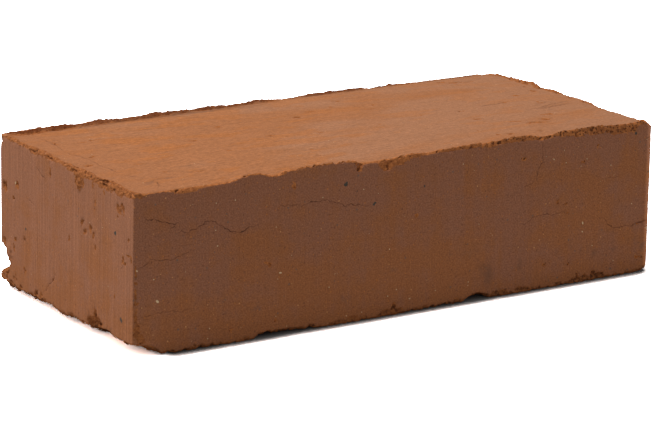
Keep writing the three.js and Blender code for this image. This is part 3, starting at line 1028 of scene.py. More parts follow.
    def _knocks(self, points: Points) -> Array:
        """Small knocks along the arrises, fewer along the upright ones.

        Args:
            points: The points of the mesh.

        Returns:
            One depth for each of them.
        """
        near = smooth_step(*self.knock_reach, self.block.arris_distance(points.plain))
        upright = smooth_step(*self.upright_arris, self.block.gaps(points.plain)[:, 2])
        knock = self.knock_depth * smooth_step(*self.knock_edge, self.knocks.at(points.here))
        return near * (1.0 - self.upright_share * upright) * (knock + self.wear)


@dataclass
class BrickBody:
    """The fired brick: a fine skin drawn over the solid, then torn, dragged, cracked and pitted.

    Sizes are in mm. The solid gives the outline, the burr and the chips; the skin starts from a
    plain block with an even grid on each side, which is halved where the detail is, up to three
    times.
    """

    solid: bpy.types.Object
    bed_height: float
    cell: float = 2.4
    core_inset: float = 20.0
    arris_band: float = 3.5
    torn_band: float = 3.4
    broken_band: float = 12.0
    detail_bands: tuple[float, float] = (1.6, 0.7)
    crisp_bands: tuple[float, float] = (1.2, 0.6)
    crisp_insets: tuple[float, float] = (-0.2, -0.5)
    burr_thins: Band = (-16.0, 8.0)
    burr_lip: Band = (0.0, 1.4)
    burr_end: Band = (9.0, 4.6)
    burr_back: float = 0.05
    burr_slant: float = 0.8
    burr_thinner: float = 0.4
    corner_clear: float = 1.6
    least_damage: float = 0.3
    least_softened: float = 0.1
    least_burr: float = 0.2
    bed_reach: float = 3.0
    upright_bed: float = 0.4
    drag_angle: float = -8.0
    crease: float = 55.0
    name: str = "brick_body"

    def __post_init__(self) -> None:
        """Works out the plain block that the skin starts from, and what lies on it."""
        low, high = (np.array(corner) * PER_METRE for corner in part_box(self.solid.name))
        high[2] = self.bed_height
        self.block = Block(low, high)
        self.details = Details(self.block, self.drag_angle)
        self.torn_clay = TornClay(self.block)
        self.relief = Relief(self.block, self.torn_clay, self.drag_angle)
        mesh = self.solid.data
        corners = [vertex.co * PER_METRE for vertex in mesh.vertices]
        self.tree = BVHTree.FromPolygons(corners, [polygon.vertices[:] for polygon in mesh.polygons])

    def build(self) -> bpy.types.Object:
        """Makes the brick's mesh.

        Returns:
            The new object, in metres, with its attributes for the finish.
        """
        work = self._grid()
        for wanted in (self._wants_halving, self._wants_quartering, self._wants_finest):
            self._halve(work, wanted)
        plain = np.array([vertex.co[:] for vertex in work.verts])
        found = self._find_surface(plain)
        self._move(work, found)
        self._soften(work, found, plain)
        work.normal_update()
        here = np.array([vertex.co[:] for vertex in work.verts])
        points = Points(plain, here, np.array([vertex.normal[:] for vertex in work.verts]))
        fields = self._fields(points)
        self._move(work, self.relief.moved(points, fields))
        return self._finish_mesh(work, fields)

    def _grid(self) -> bmesh.types.BMesh:
        """Makes the block with an even grid on each of its six sides.

        Returns:
            The new mesh, in mm.
        """
        low, high = self.block.low, self.block.high
        work = bmesh.new()
        bmesh.ops.create_cube(work, size=1.0)
        bmesh.ops.scale(work, vec=Vector(high - low), verts=work.verts)
        bmesh.ops.translate(work, vec=Vector((low + high) / 2), verts=work.verts)
        for axis in range(3):
            along = [e for e in work.edges if abs(e.verts[0].co[axis] - e.verts[1].co[axis]) > self.cell]
            cuts = round((high[axis] - low[axis]) / self.cell) - 1
            bmesh.ops.subdivide_edges(work, edges=along, cuts=cuts, use_grid_fill=True)
        return work

    @staticmethod
    def _halve(work: bmesh.types.BMesh, wanted: Callable[[Array], Array]) -> None:
        """Halves the faces that a test picks.

        Args:
            work: The mesh.
            wanted: Says for each middle of a face whether it is to be halved.
        """
        faces = list(work.faces)
        picked = wanted(np.array([face.calc_center_median()[:] for face in faces]))
        edges = {edge for face, take in zip(faces, picked) if take for edge in face.edges}
        bmesh.ops.subdivide_edges(work, edges=list(edges), cuts=1, use_grid_fill=True)

    def _wants_halving(self, middles: Array) -> Array:
        """Picks the band along every arris and round every crack and mark."""
        near_detail = self.details.distance(middles) < self.detail_bands[0]
        return (self.block.arris_distance(middles) < self.arris_band + self.cell) | near_detail

    def _wants_quartering(self, middles: Array) -> Array:
        """Picks the torn arrises, the cracks and the marks themselves.

        Args:
            middles: Middles of faces.

        Returns:
            Whether each is picked.
        """
        near_arris = self.block.bed_arris_distance(middles) < self.torn_band + self.cell / 2
        moved = np.linalg.norm(self._find_surface(middles) - middles, axis=1) > self.least_damage / 2
        crisp = self.block.arris_distance(middles) < self.crisp_bands[0]
        crisp &= self.block.plan_inset(middles) > self.crisp_insets[0]
        return (near_arris & moved) | crisp | (self.details.distance(middles) < self.detail_bands[1])

    def _wants_finest(self, middles: Array) -> Array:
        """Picks the places where clay has really broken away or been turned up.

        Args:
            middles: Middles of faces.

        Returns:
            Whether each is picked.
        """
        edge = self.block.low + self.broken_band
        on_view = (middles[:, 1] < edge[1]) | (middles[:, 0] < edge[0])
        on_view |= middles[:, 2] > self.bed_height / 2
        moved = np.linalg.norm(self._find_surface(middles) - middles, axis=1) > self.least_damage
        broken = moved & on_view & (self.block.bed_arris_distance(middles) < self.broken_band)
        crisp = self.block.arris_distance(middles) < self.crisp_bands[1]
        return (broken | crisp) & (self.block.plan_inset(middles) >= self.crisp_insets[1])

    def _find_surface(self, places: Array) -> Array:
        """Draws points of the block onto the solid, along rays towards a core inside it.

        Args:
            places: Points of the block.

        Returns:
            Where each ray first meets the solid.
        """
        core = np.clip(places, self.block.low + self.core_inset, self.block.high - self.core_inset)
        outward = places - core
        outward /= np.linalg.norm(outward, axis=1)[:, None]
        outward = self._slanted(places, outward)
        start = places + outward * self.core_inset / 2
        found = places.copy()
        for row, (origin, ray) in enumerate(zip(start, -outward)):
            hit = self.tree.ray_cast(Vector(origin), Vector(ray))[0]
            if hit:
                found[row] = hit
        return found

    def _slanted(self, places: Array, outward: Array) -> Array:
        """Slants the rays along the back of the top bed, to meet the upright side of the burr.

        Args:
            places: Points of the block.
            outward: The way out of the block at each of them.

        Returns:
            The new ways out, one long each.
        """
        high, corner = self.block.high, self.block.round_corner
        from_back = high[1] - places[:, 1]
        thin = smooth_step(*self.burr_thins, places[:, 0])
        behind = smooth_step(*self.burr_lip, from_back + thin) * smooth_step(*self.burr_end, from_back)
        behind = np.where(from_back > self.burr_back, behind, 0.0)
        behind *= (places[:, 2] > high[2] - ON_PLANE) & (from_back < self.burr_end[0])
        behind *= smooth_step(corner, self.corner_clear * corner, high[0] - places[:, 0])
        level = np.where(outward[:, 2] > LEVEL, outward[:, 2], 1.0)[:, None]
        slant = outward / level * np.array([1.0, 0.0, 0.0]) + np.array([0.0, 0.0, 1.0])
        slant[:, 1] = -self.burr_slant * (1.0 - self.burr_thinner * thin)
        mixed = outward / level * (1.0 - behind)[:, None] + slant * behind[:, None]
        outward = np.where((behind > 0.0)[:, None], mixed, outward)
        return outward / np.linalg.norm(outward, axis=1)[:, None]

    @staticmethod
    def _move(work: bmesh.types.BMesh, places: Array) -> None:
        """Puts each point of the mesh at its new place."""
        for vertex, place in zip(work.verts, places):
            vertex.co = place

    def _soften(self, work: bmesh.types.BMesh, found: Array, places: Array) -> None:
        """Takes the solid's facets out of the places that have left the plain block, save the burr.

        Args:
            work: The mesh, already drawn onto the solid.
            found: Where its points are.
            places: Where they were on the plain block.
        """
        work.verts.ensure_lookup_table()
        moved = np.linalg.norm(found - places, axis=1) > self.least_softened
        moved &= self.block.burr_rise(found) < self.least_burr
        rough = [work.verts[row] for row in np.flatnonzero(moved)]
        bmesh.ops.smooth_vert(work, verts=rough, factor=0.5, use_axis_x=True, use_axis_y=True,
                              use_axis_z=True)

    def _fields(self, points: Points) -> Fields:
        """Works out what the finish and the relief need to know at each point.

        Args:
            points: The points of the mesh.

        Returns:
            By name: what the details say, the share of torn clay, and the way in over a bed
            from its arris, below zero on the other sides.
        """
        plain = points.plain
        fields = self.details.fields(plain)
        fields["torn"] = np.maximum(self.torn_clay.share(points), fields["torn"])
        on_bed = self.block.gaps(plain)[:, 2] < ON_PLANE
        reach = np.minimum(self.block.bed_arris_distance(plain), self.bed_reach)
        upright = (np.abs(points.facing[:, 2]) < 0.5) & (plain[:, 2] > self.bed_height / 2)
        fields["bed"] = np.where(on_bed & ~upright, reach, -np.maximum(reach, self.upright_bed * on_bed))
        return fields

    def _finish_mesh(self, work: bmesh.types.BMesh, fields: Fields) -> bpy.types.Object:
        """Turns the working mesh into an object in metres, and stores the fields on it.

        Args:
            work: The mesh in mm, which it frees.
            fields: The values to store, by name.

        Returns:
            The new object.
        """
        bmesh.ops.scale(work, vec=(MM, MM, MM), verts=work.verts)
        bmesh.ops.triangulate(work, faces=work.faces[:])
        mesh = bpy.data.meshes.new(self.name)
        work.to_mesh(mesh)
        work.free()
        for name, values in fields.items():
            stored = mesh.attributes.new(name, "FLOAT", "POINT")
            stored.data.foreach_set("value", values.astype(np.float32))
        mesh.shade_smooth()
        mesh.set_sharp_from_angle(angle=math.radians(self.crease))
        log.info("%s: %d triangles", self.name, len(mesh.polygons))
        return placed(self.name, mesh)


# ---- building node trees ----

Colour = tuple[float, float, float, float]
Value = Union[bpy.types.NodeSocket, float]
Inputs = dict[Union[str, int], object]


def srgb(red: int, green: int, blue: int) -> Colour:
    """Turns a colour as a screen shows it, 0 to 255, into the light values that Blender uses.

    Args:
        red: Its red.
        green: Its green.
        blue: Its blue.

    Returns:
        Its red, green and blue light, and full cover.
    """
    shares = [level / 255 for level in (red, green, blue)]
    light = [share / 12.92 if share <= 0.04045 else ((share + 0.055) / 1.055) ** 2.4 for share in shares]
    return (*light, 1.0)


@dataclass(frozen=True)
class Cloud:
    """Noise around 0.5 in a finish.

    Attributes:
        size: How wide its lumps are in mm, the same all ways or one value for each axis.
        detail: How many finer layers lie on it.
        rough: How strong they are.
        shift: Moves the noise, so that two clouds differ.
    """

    size: tuple[float, float, float] | float
    detail: float
    rough: float
    shift: float


class Graph:
    """A node tree being built, with short calls for the nodes that the finishes use."""

    def __init__(self, tree: bpy.types.NodeTree) -> None:
        """Starts on a tree."""
        self.tree = tree

    @classmethod
    def bare(cls, owner: bpy.types.Material | bpy.types.World) -> Graph:
        """Empties the node tree of a material or of the world, and starts on it.

        Args:
            owner: The material or the world.

        Returns:
            A graph on its empty tree.
        """
        owner.use_nodes = True
        owner.node_tree.nodes.clear()
        return cls(owner.node_tree)

    def fill(self, sockets: bpy.types.bpy_prop_collection, values: Inputs) -> None:
        """Sets or links input sockets, by name or number.

        Args:
            sockets: The sockets.
            values: A socket to link or a value to set, for each of them.
        """
        for key, value in values.items():
            if isinstance(value, bpy.types.NodeSocket):
                self.tree.links.new(value, sockets[key])
            else:
                sockets[key].default_value = value

    def node(self, kind: str, inputs: Inputs | None = None, **settings: object) -> bpy.types.Node:
        """Adds a node.

        Args:
            kind: Its type name, without "ShaderNode".
            inputs: Sockets or values for its inputs, by name or number.
            settings: Its own properties.

        Returns:
            The node.
        """
        made = self.tree.nodes.new(f"ShaderNode{kind}")
        for key, value in settings.items():
            setattr(made, key, value)
        self.fill(made.inputs, inputs or {})
        return made

    def math(self, operation: str, first: Value, second: Value = 0.0, clamp: bool = False) -> Value:
        """Adds a sum of two values and returns its result."""
        return self.node("Math", {0: first, 1: second}, operation=operation, use_clamp=clamp).outputs[0]

    def total(self, *values: Value) -> Value:
        """Adds values up, one after the other."""
        return reduce(partial(self.math, "ADD"), values)

    def product(self, *values: Value) -> Value:
        """Multiplies values, one after the other."""
        return reduce(partial(self.math, "MULTIPLY"), values)

    def around(self, value: Value, middle: float, gain: float, base: float = 0.0) -> Value:
        """Adds base + gain * (value - middle)."""
        inputs = {0: value, 1: gain, 2: base - gain * middle}
        return self.node("Math", inputs, operation="MULTIPLY_ADD").outputs[0]

    def step(self, value: Value, low: float, high: float) -> Value:
        """Adds a soft step from 0 at low to 1 at high, which may lie below low."""
        inputs = {"Value": value, "From Min": low, "From Max": high}
        return self.node("MapRange", inputs, interpolation_type="SMOOTHSTEP").outputs["Result"]

    def blend(self, share: Value, first: Value | Colour, second: Value | Colour) -> Value:
        """Adds a blend of two colours and returns it."""
        return self.node("Mix", {0: share, 6: first, 7: second}, data_type="RGBA").outputs[2]

    def mixed(self, share: Value, first: Value, second: Value) -> Value:
        """Adds a blend of two values and returns it."""
        return self.node("Mix", {0: share, 2: first, 3: second}, data_type="FLOAT").outputs[0]

    def shaded(self, colour: Value | tuple[float, float, float], factor: Value) -> Value:
        """Makes a colour lighter or darker."""
        return self.node("VectorMath", {0: colour, "Scale": factor}, operation="SCALE").outputs[0]

    def toned(self, colour: Value, mask: Value, gain: float, base: float = 1.0) -> Value:
        """Makes a colour lighter, or darker with a gain below 0, where a mask is 1."""
        return self.shaded(colour, self.around(mask, 0.0, gain, base))

    def vector(self, parts: Iterable[Value]) -> Value:
        """Adds a vector of three parts."""
        return self.node("CombineXYZ", dict(enumerate(parts))).outputs[0]

    def parts(self, vector: Value) -> list[Value]:
        """The three parts of a vector."""
        return list(self.node("SeparateXYZ", {0: vector}).outputs)

    def field(self, name: str) -> Value:
        """Reads one of the mesh's own values."""
        return self.node("Attribute", attribute_name=name).outputs["Fac"]

    def scaled(self, vector: Value, size: tuple[float, float, float] | float) -> Value:
        """Counts a position in metres in steps of size, in mm.

        Args:
            vector: The position.
            size: One step in mm, the same all ways or one value for each axis.

        Returns:
            The position in steps.
        """
        sizes = size if isinstance(size, tuple) else (size,) * 3
        steps = tuple(PER_METRE / each for each in sizes)
        return self.node("VectorMath", {0: vector, 1: steps}, operation="MULTIPLY").outputs[0]

    def cloud(self, vector: Value, cloud: Cloud) -> Value:
        """Adds a cloud over a position in metres.

        Args:
            vector: The position.
            cloud: The cloud.

        Returns:
            Its value, around 0.5.
        """
        inputs = {0: self.scaled(vector, cloud.size), 1: (cloud.shift,) * 3}
        moved = self.node("VectorMath", inputs, operation="ADD").outputs[0]
        return self.node("TexNoise", {"Vector": moved, "Scale": 1.0, "Detail": cloud.detail,
                                      "Roughness": cloud.rough}).outputs[0]

    def cells(self, vector: Value) -> bpy.types.bpy_prop_collection:
        """Adds cells one step wide, and returns the outputs with their colour and distance."""
        return self.node("TexVoronoi", {"Vector": vector, "Scale": 1.0}).outputs

    def group(self, tree: bpy.types.NodeTree, inputs: Inputs) -> bpy.types.bpy_prop_collection:
        """Places a node group and returns its outputs."""
        return self.node("Group", inputs, node_tree=tree).outputs


@dataclass
class Group:
    """A shader node group being built: its graph, and the nodes that its ends are on."""

    name: str
    inputs: dict[str, str]
    outputs: dict[str, str]

    def __post_init__(self) -> None:
        """Makes the tree and its sockets."""
        self.tree = bpy.data.node_groups.new(self.name, "ShaderNodeTree")
        for ends, way in ((self.inputs, "INPUT"), (self.outputs, "OUTPUT")):
            for label, kind in ends.items():
                self.tree.interface.new_socket(label, in_out=way, socket_type=f"NodeSocket{kind}")
        self.graph = Graph(self.tree)
        self.given = self.tree.nodes.new("NodeGroupInput").outputs
        self.result = self.tree.nodes.new("NodeGroupOutput").inputs

    def close(self, **results: Value) -> bpy.types.NodeTree:
        """Links the results, by output name, and returns the tree."""
        self.graph.fill(self.result, results)
        return self.tree


def speck_group() -> bpy.types.NodeTree:
    """Scattered grains: one to a cell, of uneven size, and only in some cells.

    Returns:
        The group, which puts out a mask.
    """
    made = Group("grain_specks", {"Vector": "Vector", "Size": "Float", "Share": "Float"}, {"Mask": "Float"})
    graph, given = made.graph, made.given
    cells = graph.cells(given["Vector"])
    chances = graph.node("SeparateColor", {"Color": cells["Color"]}).outputs
    size = graph.product(given["Size"], graph.total(chances[0], 0.35))
    inside = graph.math("DIVIDE", graph.math("SUBTRACT", size, cells["Distance"]), size)
    there = graph.math("LESS_THAN", chances[1], given["Share"])
    return made.close(Mask=graph.product(graph.step(inside, 0.0, 0.5), there))


# ---- finishes; positions in them are in metres ----

SURFACE = {"Color": "Color", "Height": "Float"}


@dataclass(frozen=True)
class BedFinish:
    """The wire-cut bed: pinkish brown, with orange where the wire tore it and fine drag lines.

    The wire's marks fan out along the brick from one straight line.
    """

    pink: Colour = srgb(166, 113, 79)
    tan: Colour = srgb(165, 106, 66)
    orange: Colour = srgb(176, 105, 50)
    left_end: Colour = srgb(160, 103, 66)
    fan: float = 2.4
    straight_line: float = 0.005
    slow: Cloud = Cloud((70, 30, 40), 2.0, 0.5, 7.0)
    clouds: Cloud = Cloud((24, 9, 20), 3.0, 0.5, 3.0)
    scuffs: Cloud = Cloud((7, 2, 6), 4.0, 0.7, 2.0)
    lines: Cloud = Cloud((15, 0.9, 8), 4.0, 0.6, 5.0)
    streaks: Cloud = Cloud((2.4, 0.6, 0.7), 1.0, 0.5, 6.0)
    dashes: Cloud = Cloud((7, 0.9, 4), 1.0, 0.5, 9.0)
    grain: Cloud = Cloud(0.6, 3.0, 0.7, 5.0)
    pink_edge: Band = (0.4, 0.6)
    orange_edge: Band = (0.7, 0.82)
    dash_edge: Band = (0.64, 0.78)
    line_relief: float = 0.1
    grain_relief: float = 0.12
    dash_shade: float = -0.22
    left_end_band: Band = (-0.085, -0.12)
    left_end_share: float = 0.6
    crease: Band = (0.0526, 0.0552)
    crease_end: Band = (0.01, -0.03)
    crease_shade: float = -0.27

    def group(self) -> bpy.types.NodeTree:
        """Builds the node group.

        Returns:
            The group, which puts out a colour and a height.
        """
        made = Group("wire_cut_bed", {"Place": "Vector"}, SURFACE)
        graph, place = made.graph, made.given["Place"]
        across, deep, rise = graph.parts(place)
        spread = graph.around(deep, self.straight_line, self.fan)
        drawn = graph.vector((across, graph.total(deep, graph.product(spread, across)), rise))
        slow = graph.total(graph.cloud(drawn, self.slow), graph.around(across, 0.0, 0.9))
        colour = graph.blend(graph.step(slow, *self.pink_edge), self.tan, self.pink)
        scuffs = graph.cloud(drawn, self.scuffs)
        torn = graph.total(graph.around(graph.cloud(drawn, self.clouds), 0.0, 1.35),
                           graph.around(scuffs, 0.5, 0.35), graph.around(deep, 0.0, 0.6))
        torn = graph.product(graph.step(torn, *self.orange_edge), graph.around(across, 0.0, -1.5, 0.4))
        colour = graph.blend(torn, colour, self.orange)
        lines = graph.total(graph.cloud(drawn, self.lines),
                            graph.around(graph.cloud(drawn, self.streaks), 0.5, 1.3))
        drag = graph.product(graph.around(lines, 0.5, 1.0), graph.around(across, 0.0, -1.6, 0.48))
        colour = graph.shaded(colour, graph.total(drag, 1.0))
        dashes = graph.step(graph.cloud(drawn, self.dashes), *self.dash_edge)
        colour = graph.toned(colour, dashes, self.dash_shade)
        # Towards the left end the bed is blended towards a darker, warmer brown.
        left_end = graph.product(graph.step(across, *self.left_end_band), self.left_end_share)
        colour = graph.blend(left_end, colour, self.left_end)
        # Painted shade: the bed is darkened in a narrow strip just in front of the burr's foot, on its left
        # part, fading out near the middle.
        crease = graph.product(graph.step(deep, *self.crease), graph.step(across, *self.crease_end))
        colour = graph.toned(colour, crease, self.crease_shade)
        height = graph.total(graph.around(lines, 0.5, self.line_relief),
                             graph.around(graph.cloud(place, self.grain), 0.5, self.grain_relief),
                             graph.around(scuffs, 0.5, self.grain_relief))
        return made.close(Color=colour, Height=height)


@dataclass(frozen=True)
class SkinFinish:
    """The die-smoothed faces: purplish brown, warmer low down, with fine lines up and down."""

    header: Colour = srgb(169, 113, 83)
    header_warm: Colour = srgb(168, 107, 68)
    stretcher: Colour = srgb(156, 103, 76)
    stretcher_warm: Colour = srgb(162, 102, 64)
    smoke: Colour = srgb(122, 90, 74)
    lines: Cloud = Cloud((0.7, 0.7, 60), 1.0, 0.6, 1.0)
    broad: Cloud = Cloud((1.8, 1.8, 90), 1.0, 0.6, 4.0)
    bands: Cloud = Cloud((4.5, 4.5, 90), 3.0, 0.6, 8.0)
    patches: Cloud = Cloud((24, 24, 18), 4.0, 0.6, 9.0)
    sooty: Cloud = Cloud((12, 12, 9), 3.0, 0.6, 16.0)
    grain: Cloud = Cloud((0.55, 0.55, 0.7), 3.0, 0.7, 4.0)
    header_edge: Band = (0.38, 0.68)
    stretcher_edge: Band = (0.36, 0.66)
    sooty_edge: Band = (0.58, 0.74)
    line_relief: float = 0.25
    grain_relief: float = 0.06
    middle: float = 0.033
    line_gains: tuple[float, float] = (0.12, 0.42)
    sooty_foot: Band = (0.03, 0.015)
    sooty_share: float = 0.45
    right_arris_light: Band = (0.1222, 0.1244)
    right_arris_light_gain: float = 0.9

    def group(self) -> bpy.types.NodeTree:
        """Builds the node group.

        Returns:
            The group, which puts out a colour and a height.
        """
        made = Group("die_skin", {"Place": "Vector", "Header": "Float"}, SURFACE)
        graph, place, header = made.graph, made.given["Place"], made.given["Header"]
        across, _, rise = graph.parts(place)
        lines = graph.total(graph.cloud(place, self.lines),
                            graph.around(graph.cloud(place, self.broad), 0.5, 0.5))
        warm = graph.total(graph.cloud(place, self.patches), graph.around(rise, self.middle, -3.0),
                           graph.around(graph.cloud(place, self.bands), 0.5, 0.35))
        ends = graph.blend(graph.step(warm, *self.header_edge), self.header, self.header_warm)
        sides = graph.blend(graph.step(warm, *self.stretcher_edge), self.stretcher, self.stretcher_warm)
        smoke = graph.step(graph.cloud(place, self.sooty), *self.sooty_edge)
        smoke = graph.product(smoke, graph.step(rise, *self.sooty_foot), self.sooty_share)
        sides = graph.blend(smoke, sides, self.smoke)
        # Painted light: the long sides are lighter towards the right end and towards the foot, and darker
        # towards the left end and the top.
        sides = graph.shaded(sides, graph.total(graph.around(across, 0.0, 0.4, 1.02),
                                                graph.around(rise, self.middle, -0.95)))
        # Painted light: the long sides are brightened within their last few mm at the right end, over the
        # rounded upright arris that turns into shade.
        sides = graph.toned(sides, graph.step(across, *self.right_arris_light), self.right_arris_light_gain)
        fine = graph.product(graph.around(lines, 0.5, 1.0), graph.mixed(header, *self.line_gains))
        colour = graph.toned(graph.blend(header, sides, ends), fine, 1.0)
        height = graph.total(graph.product(fine, self.line_relief),
                             graph.around(graph.cloud(place, self.grain), 0.5, self.grain_relief))
        return made.close(Color=colour, Height=height)


@dataclass(frozen=True)
class TornFinish:
    """Broken clay: orange brown crumbs with hollows darkened by painted shade, and full of pores along the
    front.
    """

    bright: Colour = srgb(192, 118, 66)
    dull: Colour = srgb(162, 96, 52)
    hollow: Colour = srgb(102, 59, 33)
    folded: Colour = srgb(206, 138, 92)
    clods: Cloud = Cloud(1.5, 4.0, 0.7, 6.0)
    crumb: Cloud = Cloud(0.6, 3.0, 0.7, 3.0)
    pore_size: tuple[float, float, float] = (1.3, 1.3, 1.1)
    bright_edge: Band = (0.38, 0.62)
    pore_edge: Band = (0.36, 0.16)
    hollow_edge: Band = (0.3, 1.0)
    clod_relief: float = 0.5
    crumb_relief: float = 0.4
    pore_relief: float = 0.4
    aft: Band = (0.053, 0.055)
    burr: Band = (0.066, 0.0666)
    folded_share: float = 0.68
    from_left: Band = (-0.121, -0.112)
    front: Band = (-0.053, -0.057)
    porous: Band = (0.02, 0.05)
    foot: Band = (0.006, 0.0015)
    foot_shade: float = -0.25
    hollow_share: float = 0.82

    def group(self) -> bpy.types.NodeTree:
        """Builds the node group.

        Returns:
            The group, which puts out a colour and a height.
        """
        made = Group("torn_clay", {"Place": "Vector", "Hollow": "Float"}, SURFACE)
        graph, place = made.graph, made.given["Place"]
        across, deep, rise = graph.parts(place)
        clods, crumb = graph.cloud(place, self.clods), graph.cloud(place, self.crumb)
        colour = graph.blend(graph.step(clods, *self.bright_edge), self.dull, self.bright)
        # Painted light: the inner wall of the back burr, which faces away from the key lamp, is blended
        # towards a pale colour.
        aft = graph.product(graph.step(deep, *self.aft), graph.step(rise, *self.burr))
        colour = graph.blend(graph.product(aft, self.folded_share), colour, self.folded)
        fore = graph.product(graph.step(across, *self.from_left), graph.step(deep, *self.front))
        # Painted light and shade: torn clay along the front is lightened to 1.1 of its colour, and
        # elsewhere, as on the ridge of the left header, darkened to 0.88.
        colour = graph.toned(colour, fore, 0.22, 0.88)
        away = graph.cells(graph.scaled(place, self.pore_size))["Distance"]
        bare = graph.total(away, graph.around(crumb, 0.5, 0.8))
        porous = graph.around(graph.product(fore, graph.step(across, *self.porous)), 0.0, 0.75, 0.25)
        pores = graph.product(graph.step(bare, *self.pore_edge), porous)
        # Painted shade: near the foot the torn clay is darkened, and it is blended towards the hollow
        # colour in hollows, in pores and near the foot, broken up by crumb noise.
        low = graph.step(rise, *self.foot)
        dark = graph.total(made.given["Hollow"], graph.around(crumb, 0.5, 1.6),
                           graph.math("MAXIMUM", pores, graph.product(low, 0.45)))
        colour = graph.toned(colour, low, self.foot_shade)
        dark = graph.product(graph.step(dark, *self.hollow_edge), self.hollow_share)
        colour = graph.blend(dark, colour, self.hollow)
        height = graph.total(graph.around(clods, 0.5, self.clod_relief),
                             graph.around(crumb, 0.5, self.crumb_relief))
        height = graph.math("SUBTRACT", height, graph.product(pores, self.pore_relief))
        return made.close(Color=colour, Height=height)


@dataclass(frozen=True)
class Grains:
    """One sort of grain in the clay: its colour, spacing in mm, size, share of cells and strength."""

    tone: Colour
    spacing: float
    size: float
    share: float
    strength: float


@dataclass(frozen=True)
class FiredClay:
    """The whole finish of the brick, blended from its parts by the values on the mesh."""

    bed: BedFinish = BedFinish()
    skin: SkinFinish = SkinFinish()
    torn: TornFinish = TornFinish()
    grains: tuple[Grains, ...] = (
        Grains(srgb(204, 122, 56), 2.0, 0.17, 0.35, 0.5),
        Grains(srgb(108, 70, 50), 2.3, 0.18, 0.4, 0.5),
        Grains(srgb(108, 96, 84), 4.6, 0.11, 0.3, 0.6),
        Grains(srgb(222, 156, 100), 2.7, 0.12, 0.35, 0.85),
        Grains(srgb(240, 208, 162), 4.0, 0.062, 0.6, 0.9),
    )
    cream: Colour = srgb(228, 194, 150)
    slate: Colour = srgb(84, 76, 66)
    rust: Colour = srgb(178, 98, 44)
    stain_and_shade: Colour = srgb(116, 82, 62)
    cleft: Colour = srgb(76, 44, 28)
    ragged: Cloud = Cloud(0.9, 3.0, 0.6, 3.0)
    fine: Cloud = Cloud(0.62, 0.0, 0.5, 1.0)
    coarse: Cloud = Cloud(1.7, 1.0, 0.5, 11.0)
    rusty: Cloud = Cloud(1.3, 3.0, 0.7, 15.0)
    uneven: Cloud = Cloud(3.0, 2.0, 0.6, 12.0)
    mottle: float = 0.7
    tint: float = 0.09
    stain_and_shade_share: float = 0.42
    bed_edge: Band = (-0.12, 0.12)
    torn_edge: Band = (0.38, 0.6)
    rust_edge: Band = (0.35, 0.65)
    grain_edge: Band = (0.3, 0.7)
    score_edge: Band = (0.3, 0.08)
    crack_edge: Band = (0.24, 0.06)
    roughness: float = 0.9
    gloss: float = 0.18

    def material(self) -> bpy.types.Material:
        """Builds the material.

        Returns:
            The material.
        """
        made = bpy.data.materials.new("fired_clay_finish")
        graph = Graph.bare(made)
        place = graph.node("TexCoord").outputs["Object"]
        ragged = graph.around(graph.cloud(place, self.ragged), 0.5, 0.9)
        bed = graph.group(self.bed.group(), {"Place": place})
        skin = graph.group(self.skin.group(), {"Place": place, "Header": graph.field("header")})
        torn = graph.group(self.torn.group(), {"Place": place, "Hollow": graph.field("hollow")})
        on_bed = graph.step(graph.total(graph.field("bed"), ragged), *self.bed_edge)
        broken = graph.step(graph.total(graph.field("torn"), ragged), *self.torn_edge)
        colour = self._scored(graph, graph.blend(on_bed, skin["Color"], bed["Color"]))
        colour = self._mottled(graph, place, colour, on_bed)
        colour = self._grained(graph, place, colour, on_bed)
        colour = self._marked(graph, place, colour)
        colour = graph.blend(broken, colour, torn["Color"])
        colour = self._cracked(graph, place, colour, on_bed)
        height = graph.mixed(on_bed, skin["Height"], bed["Height"])
        height = graph.mixed(broken, height, torn["Height"])
        bump = graph.node("Bump", {"Strength": 1.0, "Distance": MM, "Height": height})
        surface = graph.node("BsdfPrincipled", {
            "Base Color": colour, "Roughness": self.roughness, "Specular IOR Level": self.gloss,
            "Normal": bump.outputs[0]})
        graph.node("OutputMaterial", {"Surface": surface.outputs[0]})
        return made

    def _scored(self, graph: Graph, colour: Value) -> Value:
        """Draws each score: a pale line with a darker one beside it.

        Args:
            graph: The material's graph.
            colour: The colour so far.

        Returns:
            The new colour.
        """
        away = graph.field("score")
        pale, dark = (graph.step(graph.math("ABSOLUTE", graph.total(away, aside)), *self.score_edge)
                      for aside in (-0.16, 0.2))
        line = graph.math("SUBTRACT", graph.product(pale, 0.14), graph.product(dark, 0.1))
        return graph.shaded(colour, graph.total(graph.product(line, graph.field("score_share")), 1.0))

    def _mottled(self, graph: Graph, place: Value, colour: Value, on_bed: Value) -> Value:
        """Adds fine mottling and rust, which the wire has partly wiped off the beds.

        Args:
            graph: The material's graph.
            place: The position on the brick.
            colour: The colour so far.
            on_bed: 1 on the beds and 0 on the other sides.

        Returns:
            The new colour.
        """
        mottle = graph.total(graph.cloud(place, self.fine),
                             graph.around(graph.cloud(place, self.coarse), 0.5, 0.3))
        wiped = graph.math("MAXIMUM", graph.field("header"), on_bed)
        mottle = graph.product(graph.around(mottle, 0.5, 1.0),
                               graph.mixed(wiped, self.mottle, 0.62 * self.mottle))
        colour = graph.shaded(colour, graph.total(mottle, 1.0))
        rusty = graph.product(graph.step(graph.cloud(place, self.rusty), *self.rust_edge),
                              graph.mixed(on_bed, self.tint, 0.4 * self.tint))
        return graph.blend(rusty, colour, self.rust)

    def _grained(self, graph: Graph, place: Value, colour: Value, on_bed: Value) -> Value:
        """Adds the grains of the clay, fainter on the beds.

        Args:
            graph: The material's graph.
            place: The position on the brick.
            colour: The colour so far.
            on_bed: 1 on the beds and 0 on the other sides.

        Returns:
            The new colour.
        """
        kept, specks = graph.around(on_bed, 0.0, -0.45, 1.0), speck_group()
        for each in self.grains:
            cells = graph.scaled(place, each.spacing)
            spot = graph.group(specks, {"Vector": cells, "Size": each.size, "Share": each.share})
            colour = graph.blend(graph.product(spot["Mask"], each.strength, kept), colour, each.tone)
        return colour

